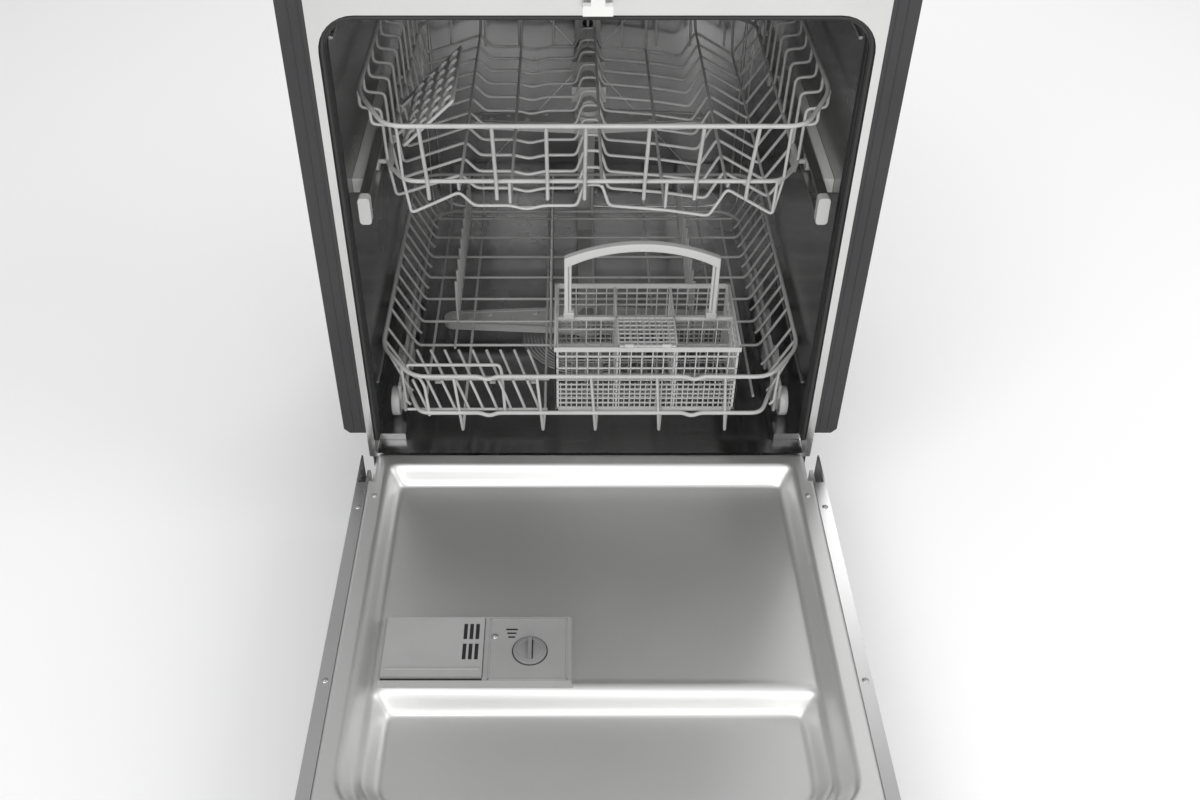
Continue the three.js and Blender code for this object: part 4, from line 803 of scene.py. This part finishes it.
# Filter
# A fine steel plate with ring ribs round the sump, and a moulded cup that lifts out of it.
filter_look = finish("Filter mesh", (0.36, 0.36, 0.36), (0.5, 0.5, 0.5), 0.34, 0.5, metallic=0.9,
                     grain=2600.0, strength=0.9, drift=25.0)
keep("filter_plate", filter_look, 0.5)
cup_y, cup_opening, rib_steps = 212, 34, 120
ring_runs = []
for radius in range(24, 95, 5):
    arcs = [[]]
    for n in range(rib_steps + 1):
        angle = math.pi * 2 * n / rib_steps - math.pi / 2
        x, y = radius * math.cos(angle), sump_y + radius * math.sin(angle)
        if math.hypot(x, y - cup_y) > cup_opening:
            arcs[-1].append((x, y, 151.3))
        else:
            arcs.append([])
    ring_runs += [(points, 0.8, 0.1, False) for points in arcs if len(points) > 1]
wires("Filter ribs", ring_runs, grey, "cabinet", 1)
keep("filter_cup", grey, 1.0)
cup_ribs = [([(x, y, 90), (x, y, 154)], 0.8, 1, False) for x, y, z in circle((0, cup_y), 25.2, 0, 24)]
wires("Filter cup ribs", cup_ribs, grey, "filter_cup", 1)

# Lower rack
# Heavier welded wire: a rim, a foot rail, a flat floor, plate tines and pointed stays in front.
lower_rim, foot_rail, lower_floor = 270, 209, 205
lower_front, lower_half, foot_half, floor_half = 18, 272, 247, 240


def lower_cross(y):
    half = min(lower_half, lower_half - 44 * (1 - (y - lower_front) / 62))
    half = max(half, lower_half - 44)
    return [(-half, y, lower_rim), (-floor_half - 2, y, foot_rail + 2), (-floor_half + 3, y, lower_floor),
            (floor_half - 3, y, lower_floor), (floor_half + 2, y, foot_rail + 2), (half, y, lower_rim)]


dips = (-132, 132)
foot_back = rack_back - 12
runs = [(chamfered_loop(lower_half, lower_front, rack_back, lower_rim, 44, 62, 24, dips), 2.8, 20, True),
        (chamfered_loop(foot_half, lower_front, foot_back, foot_rail, 24, 62, 24, dips), 2.8, 14, True)]
runs += [(lower_cross(y), 2.0, 5, False) for y in [96] + [167 + 55.5 * n for n in range(7)]]
for y in (40, 68, 124, 195, 250, 306, 361, 417, 472):
    cross = lower_cross(y)
    runs += [(cross[:3], 1.9, 5, False), (cross[3:], 1.9, 5, False)]
under, over = lower_floor - 3, lower_floor + 0.5
for x in (-168, -62, 7, 91, 178):
    runs.append(([(x - 7, lower_front, lower_rim), (x, lower_front + 2, 176),
                  (x + 3, lower_front + 22, under), (x + 3, foot_back, under),
                  (x + 3, rack_back, lower_rim)], 2.0, 4, False))
for x in (-218, 218):
    runs.append(([(x, 60, under), (x, foot_back, under), (x, rack_back, lower_rim)], 1.9, 5, False))
for x in (-187, -53, 149):
    runs.append(([(x, 160, over), (x, foot_back, over), (x, rack_back, lower_rim)], 1.9, 5, False))
    for y in [222 + 27.8 * n for n in range(11)]:
        runs.append(([(x, y, lower_floor), (x, y + 1, 238), (x, y + 6, 271)], 1.9, 8, False))
tine_xs = [-214 + n * 18.4 for n in range(9)]
for x in tine_xs:
    runs.append(([(x, 30, lower_floor), (x - 6, 30, 226), (x - 15, 30, 255)], 1.9, 8, False))
runs.append(([(-240, 30, lower_floor), (-56, 30, lower_floor)], 1.9, 1, False))
hoop = [(-210, 19, 204), (-213, 20, 252), (-219, 27, 260), (-236, 39, 263), (-237, 44, 268),
        (-118, 44, 268), (-115, 41, 260), (-111, 21, 204)]
runs.append((hoop, 2.1, 7, False))
rack = wires("Lower rack wires", runs, coating, "lower_rack")
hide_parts("lower_rack")
lower_stub = [(0.01, 265.4), (4.2, 265.4), (4.2, 248), (0.01, 248)]
wheel_seats("lower", (71, 160, 248, 331), (245.6, 250), (177, 211), 1.4, lower_stub, 185.3, grey, 24)

# Folding tines
# A row of tines welded to a wire that turns in clips on the rack floor, so the row lies down.
tine_y, tine_z = 88, 208.2
runs = [([(-222, tine_y, tine_z), (-54, tine_y, tine_z)], 1.9, 1, False)]
runs += [([(x, tine_y, tine_z), (x - 6, tine_y, 229), (x - 15, tine_y, 258)], 1.9, 8, False) for x in tine_xs]
tines = wires("Folding tine row", runs, coating, "folding_tines")
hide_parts("folding_tines")
clips = [(span(x, 4), span(tine_y, 3.6), (202.6, 206.0)) for x in (-204.6, -131, -75.6)]
blocks("Tine clips", clips, grey, "lower_rack", "rack_coating", 0.8)

# Cutlery basket
# A moulded basket of thin lattice walls between solid bands, split into cells, with a lattice
# floor. The lattice is finer in its lower half.
left, right, front, rear, base, brim = -46.0, 188.0, 24.0, 164.0, 207.0, 312.0
wall, bar, divider = 2.4, 1.5, 1.6
outer_pitch, inner_pitch, floor_pitch = 14, 19, 12
split_x = [left + share * (right - left) for share in (0.34, 0.66)]
split_y = (front + rear) / 2


def lattice(along_x, start, end, fixed, thick, low, high, pitch, fine):
    """Boxes of an upright lattice wall, finer below its middle."""
    made = []
    depth = (fixed, fixed + thick)
    middle = low + (high - low) * 0.45

    def put(u, z):
        made.append((u, depth, z) if along_x else (depth, u, z))

    count = max(2, round((end - start) / pitch))
    for n in range(count + 1):
        u = start + (end - start - bar) * n / count
        put((u, u + bar), (low, high))
    for n in range(count):
        if fine:
            u = start + (end - start - bar) * (n + 0.5) / count
            put((u, u + bar * 0.8), (low, middle))
    level = low
    while level < high:
        put((start, end), (level, level + (bar if level < middle else bar * 1.3)))
        level += pitch * (0.55 if level < middle and fine else 1.35)
    return made


boxes = []
for y in (front, rear - wall):
    boxes += lattice(True, left, right, y, wall, base + 5, brim - 7, outer_pitch, True)
for x in (left, right - wall):
    boxes += lattice(False, front, rear, x, wall, base + 5, brim - 7, outer_pitch, True)
for along_x, start, end, middle in ((False, front, rear, split_x[0]), (False, front, rear, split_x[1]),
                                    (True, left, right, split_y)):
    boxes += lattice(along_x, start + wall, end - wall, middle - wall / 2, wall, base + 3, brim - 6,
                     inner_pitch, False)
boxes += [((x, x + bar), (front + 1, rear - 1), (base + 1, base + 2.6))
          for x in [left + 3 + n * floor_pitch for n in range(20)]]
boxes += [((left + 1, right - 1), (y, y + bar), (base + 0.6, base + 2.2))
          for y in [front + 3 + n * floor_pitch for n in range(12)]]
basket = blocks("Basket lattice", boxes, basket_look, "lower_rack", "basket_plastic", 0.3)
basket.modifiers["Edges"].segments = 1
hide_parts("cutlery_basket")
bands = []
for low, high, out in ((brim - 7, brim, 0.8), (base, base + 5, 0.0)):
    bands += [((left - out, right + out), y, (low, high))
              for y in ((front - out, front + wall), (rear - wall, rear + out))]
    bands += [(x, (front, rear), (low, high))
              for x in ((left - out, left + wall), (right - wall, right + out))]
bands += [(span(x, divider), (front + 1, rear - 1), (brim - 9, brim - 4)) for x in split_x]
bands.append(((left + 1, right - 1), span(split_y, divider), (brim - 9, brim - 4)))
bands += [((x, x + 5), (y, y + 5), (base, brim)) for x in (left, right - 5) for y in (front, rear - 5)]
blocks("Basket bands", bands, basket_look, "lower_rack", "basket_plastic", 0.7)
leg_left, leg_right, leg_foot, shoulder, arch_rise, arch_steps = -34.0, 162.0, 308.3, 400.3, 22.0, 30
handle_look = finish("Handle plastic", (0.52, 0.52, 0.515), (0.58, 0.58, 0.575), 0.32, 0.42,
                     grain=900.0, strength=0.08)
verts, faces = [], []
for i in range(arch_steps + 1):
    t = i / arch_steps
    x, top = leg_left + (leg_right - leg_left) * t, shoulder + arch_rise * 4 * t * (1 - t)
    low = top - 11.5 - 4 * (2 * t - 1) ** 4
    verts += [at((x, split_y + y, z)) for y, z in ((-5, low), (-5, top), (5, top), (5, low))]
for i in range(arch_steps):
    for k in range(4):
        a, b = i * 4 + k, i * 4 + (k + 1) % 4
        faces.append((a, b, b + 4, a + 4))
last = arch_steps * 4
faces += [(0, 3, 2, 1), (last, last + 1, last + 2, last + 3)]
legs = [((x, x + 5.5), span(split_y, 4.4), (leg_foot, shoulder - 10)) for x in (leg_left, leg_right - 5.5)]
legs += [((x, x + 4), span(split_y, 1.6), (leg_foot, shoulder - 8))
         for x in (leg_left + 5.4, leg_right - 9.4)]
handle_data = merge_data([(verts, faces)] + [box_data(*leg) for leg in legs])
basket_handle = clean(add_mesh("Basket handle", *handle_data, handle_look, "lower_rack", "basket_plastic"))
soften(basket_handle, 1.6, 3)
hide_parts("basket_handle")
feet = [(span(x, 7), span(split_y, 6), (brim - 4, brim + 6)) for x in (-28, 156)]
blocks("Handle feet", feet, basket_look, "lower_rack", "basket_plastic", 1.2)

# Basket lid
# A lattice cover over the front middle cell, with two hinge clips round the basket's top band.
lid_left, lid_right, lid_front, lid_rear = split_x[0], split_x[1], front, split_y - 9
lid_under, lid_top, lid_frame, lid_bar = brim + 0.4, brim + 2.8, 2.2, 1.7
wide, deep = (lid_left, lid_right), (lid_front, lid_rear)
thick, thin = (lid_under, lid_top), (lid_under + 0.3, lid_top - 0.3)
grid = [(wide, (y, y + lid_frame), thick) for y in (lid_front, lid_rear - lid_frame)]
grid += [((x, x + lid_frame), deep, thick) for x in (lid_left, lid_right - lid_frame)]
grid += [((x, x + lid_bar), deep, thin) for x in [lid_left + n * 8.1 for n in range(1, 9)]]
grid += [(wide, (y, y + lid_bar), thin) for y in [lid_front + n * 8.6 for n in range(1, 7)]]
lid = blocks("Basket lid lattice", grid, basket_look, "basket_lid", "basket_plastic", 0.4)
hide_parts("basket_lid")
barrel = [(0.01, -6), (2.2, -6), (2.7, -5.4), (2.7, 5.4), (2.2, 6), (0.01, 6)]
for number, x in enumerate((lid_left + 14, lid_right - 14), 1):
    turned(f"Lid hinge {number}", barrel, (x, front + 0.6, brim + 2.2), basket_look, "basket_lid",
           "basket_plastic", "X", 24)

# Sump and pumps
# The works under the tub: a moulded bowl clamped under the drain hole, the wash pump and the drain
# pump with cooling fins, and short hoses between them.
keep("sump", grey, 1.2)
keep("circulation_pump", black, 2.0, 3)
keep("drain_pump", white, 1.6, 3)


def fins(name, start, end, count, radius, y, z, look, slot):
    """Cooling fins round a pump, from one place along X to another."""
    fin = [(radius - 1, -1.2), (radius + 1.8, -1.0), (radius + 1.8, 1.0), (radius - 1, 1.2)]
    places = [(start + (end - start) * n / (count - 1), y, z) for n in range(count)]
    pieces = [lathe_data(fin, place, "X", 32) for place in places]
    clean(add_mesh(name, *merge_data(pieces), look, "cabinet", slot))


fins("Wash pump fins", -128, -212, 9, 38, 277, 73.9, black, "black_plastic")
fins("Drain pump fins", 120, 170, 6, 26, 252, 61.2, white, "white_plastic")
hoses = [([(-104, 277, 74), (-84, 275, 84)], 11, 1, False), ([(102, 252, 61), (80, 256, 74)], 8, 1, False)]
wires("Pump hoses", hoses, black, "cabinet", 4)

# Back of the machine
# The tub's back wall has pressed stiffening beads. On the tray's back are the water inlet, the
# drain spigot, the cable gland and a blank rating plate.
bead_y = 550.2
corners = [(-250, bead_y, 180), (250, bead_y, 180), (250, bead_y, 730), (-250, bead_y, 730)]
beads = [([(way * -220, bead_y, 210), (way * 220, bead_y, 700)], 2.4, 1, False) for way in (1, -1)]
wires("Back beads", beads + [(corners, 2.4, 40, True)], stainless, "cabinet")
inlet = [(0.01, 558), (7, 558), (7.4, 557.4), (7.4, 556), (10.5, 556), (11, 555.2), (11, 553.5), (10, 553),
         (10, 549.8), (0.01, 549.8)]
turned("Water inlet", inlet, (-200, 0, 92), white, "cabinet", "white_plastic", "Y", 32)
turned("Drain spigot", inlet, (-150, 0, 92), grey, "cabinet", "grey_plastic", "Y", 32)
gland = [(0.01, 557), (4.6, 557), (6.8, 555.6), (8.6, 554.6), (8.6, 551), (11, 551), (11, 549.8),
         (0.01, 549.8)]
turned("Cable gland", gland, (200, 0, 92), black, "cabinet", "black_plastic", "Y", 6)
blocks("Rating plate", [((60, 130), (549.8, 550.8), (72, 108))], bolt_steel, "cabinet", "zinc_steel", 0.3)

# Floor, light and camera
# A pale floor that keeps the object's shadow, soft lamps, and the photograph's viewing angle.
floor_look = bpy.data.materials.new("Floor")
floor_look.use_nodes = True
floor_shader = floor_look.node_tree.nodes["Principled BSDF"]
floor_shader.inputs["Base Color"].default_value = (0.94, 0.94, 0.94, 1.0)
floor_shader.inputs["Roughness"].default_value = 0.7
bpy.ops.mesh.primitive_plane_add(size=40, location=(0, 0, 0))
floor = bpy.context.object
floor.name = "Floor"
floor.data.materials.append(floor_look)

world = bpy.data.worlds.new("Studio")
bpy.context.scene.world = world
world.use_nodes = True
tree = world.node_tree
sky = tree.nodes["Background"]
sky.inputs["Color"].default_value = (1.0, 1.0, 1.0, 1.0)
paths = tree.nodes.new("ShaderNodeLightPath")
level = tree.nodes.new("ShaderNodeMapRange")
level.inputs["To Min"].default_value = 0.5
level.inputs["To Max"].default_value = 1.0
tree.links.new(paths.outputs["Is Camera Ray"], level.inputs["Value"])
tree.links.new(level.outputs["Result"], sky.inputs["Strength"])


def lamp(name, place, aim, size, power):
    data = bpy.data.lights.new(name, "AREA")
    data.size = size
    data.energy = power
    made = bpy.data.objects.new(name, data)
    bpy.context.scene.collection.objects.link(made)
    made.location = place
    made.rotation_euler = (Vector(aim) - Vector(place)).to_track_quat("-Z", "Y").to_euler()


lamp("Key lamp", (-1.6, -2.6, 3.2), (0, 0.1, 0.4), 2.2, 70)
lamp("Front lamp", (0.6, -3.0, 1.6), (0, 0.3, 0.45), 1.6, 26)
lamp("Fill lamp", (2.6, -0.6, 2.4), (0, 0.0, 0.4), 2.0, 30)
lamp("Back lamp", (0.6, 3.0, 2.6), (0, 0.2, 0.4), 2.0, 34)

lens = bpy.data.cameras.new("Camera")
lens.sensor_width = 36
lens.lens = 35.18
lens.shift_x = 0.0275
camera = bpy.data.objects.new("Camera", lens)
bpy.context.scene.collection.objects.link(camera)
camera.location = (-0.0304, -1.0502, 1.2154)
camera.rotation_euler = (math.radians(49.5), 0, 0)
bpy.context.scene.camera = camera
bpy.context.scene.view_settings.view_transform = "Standard"
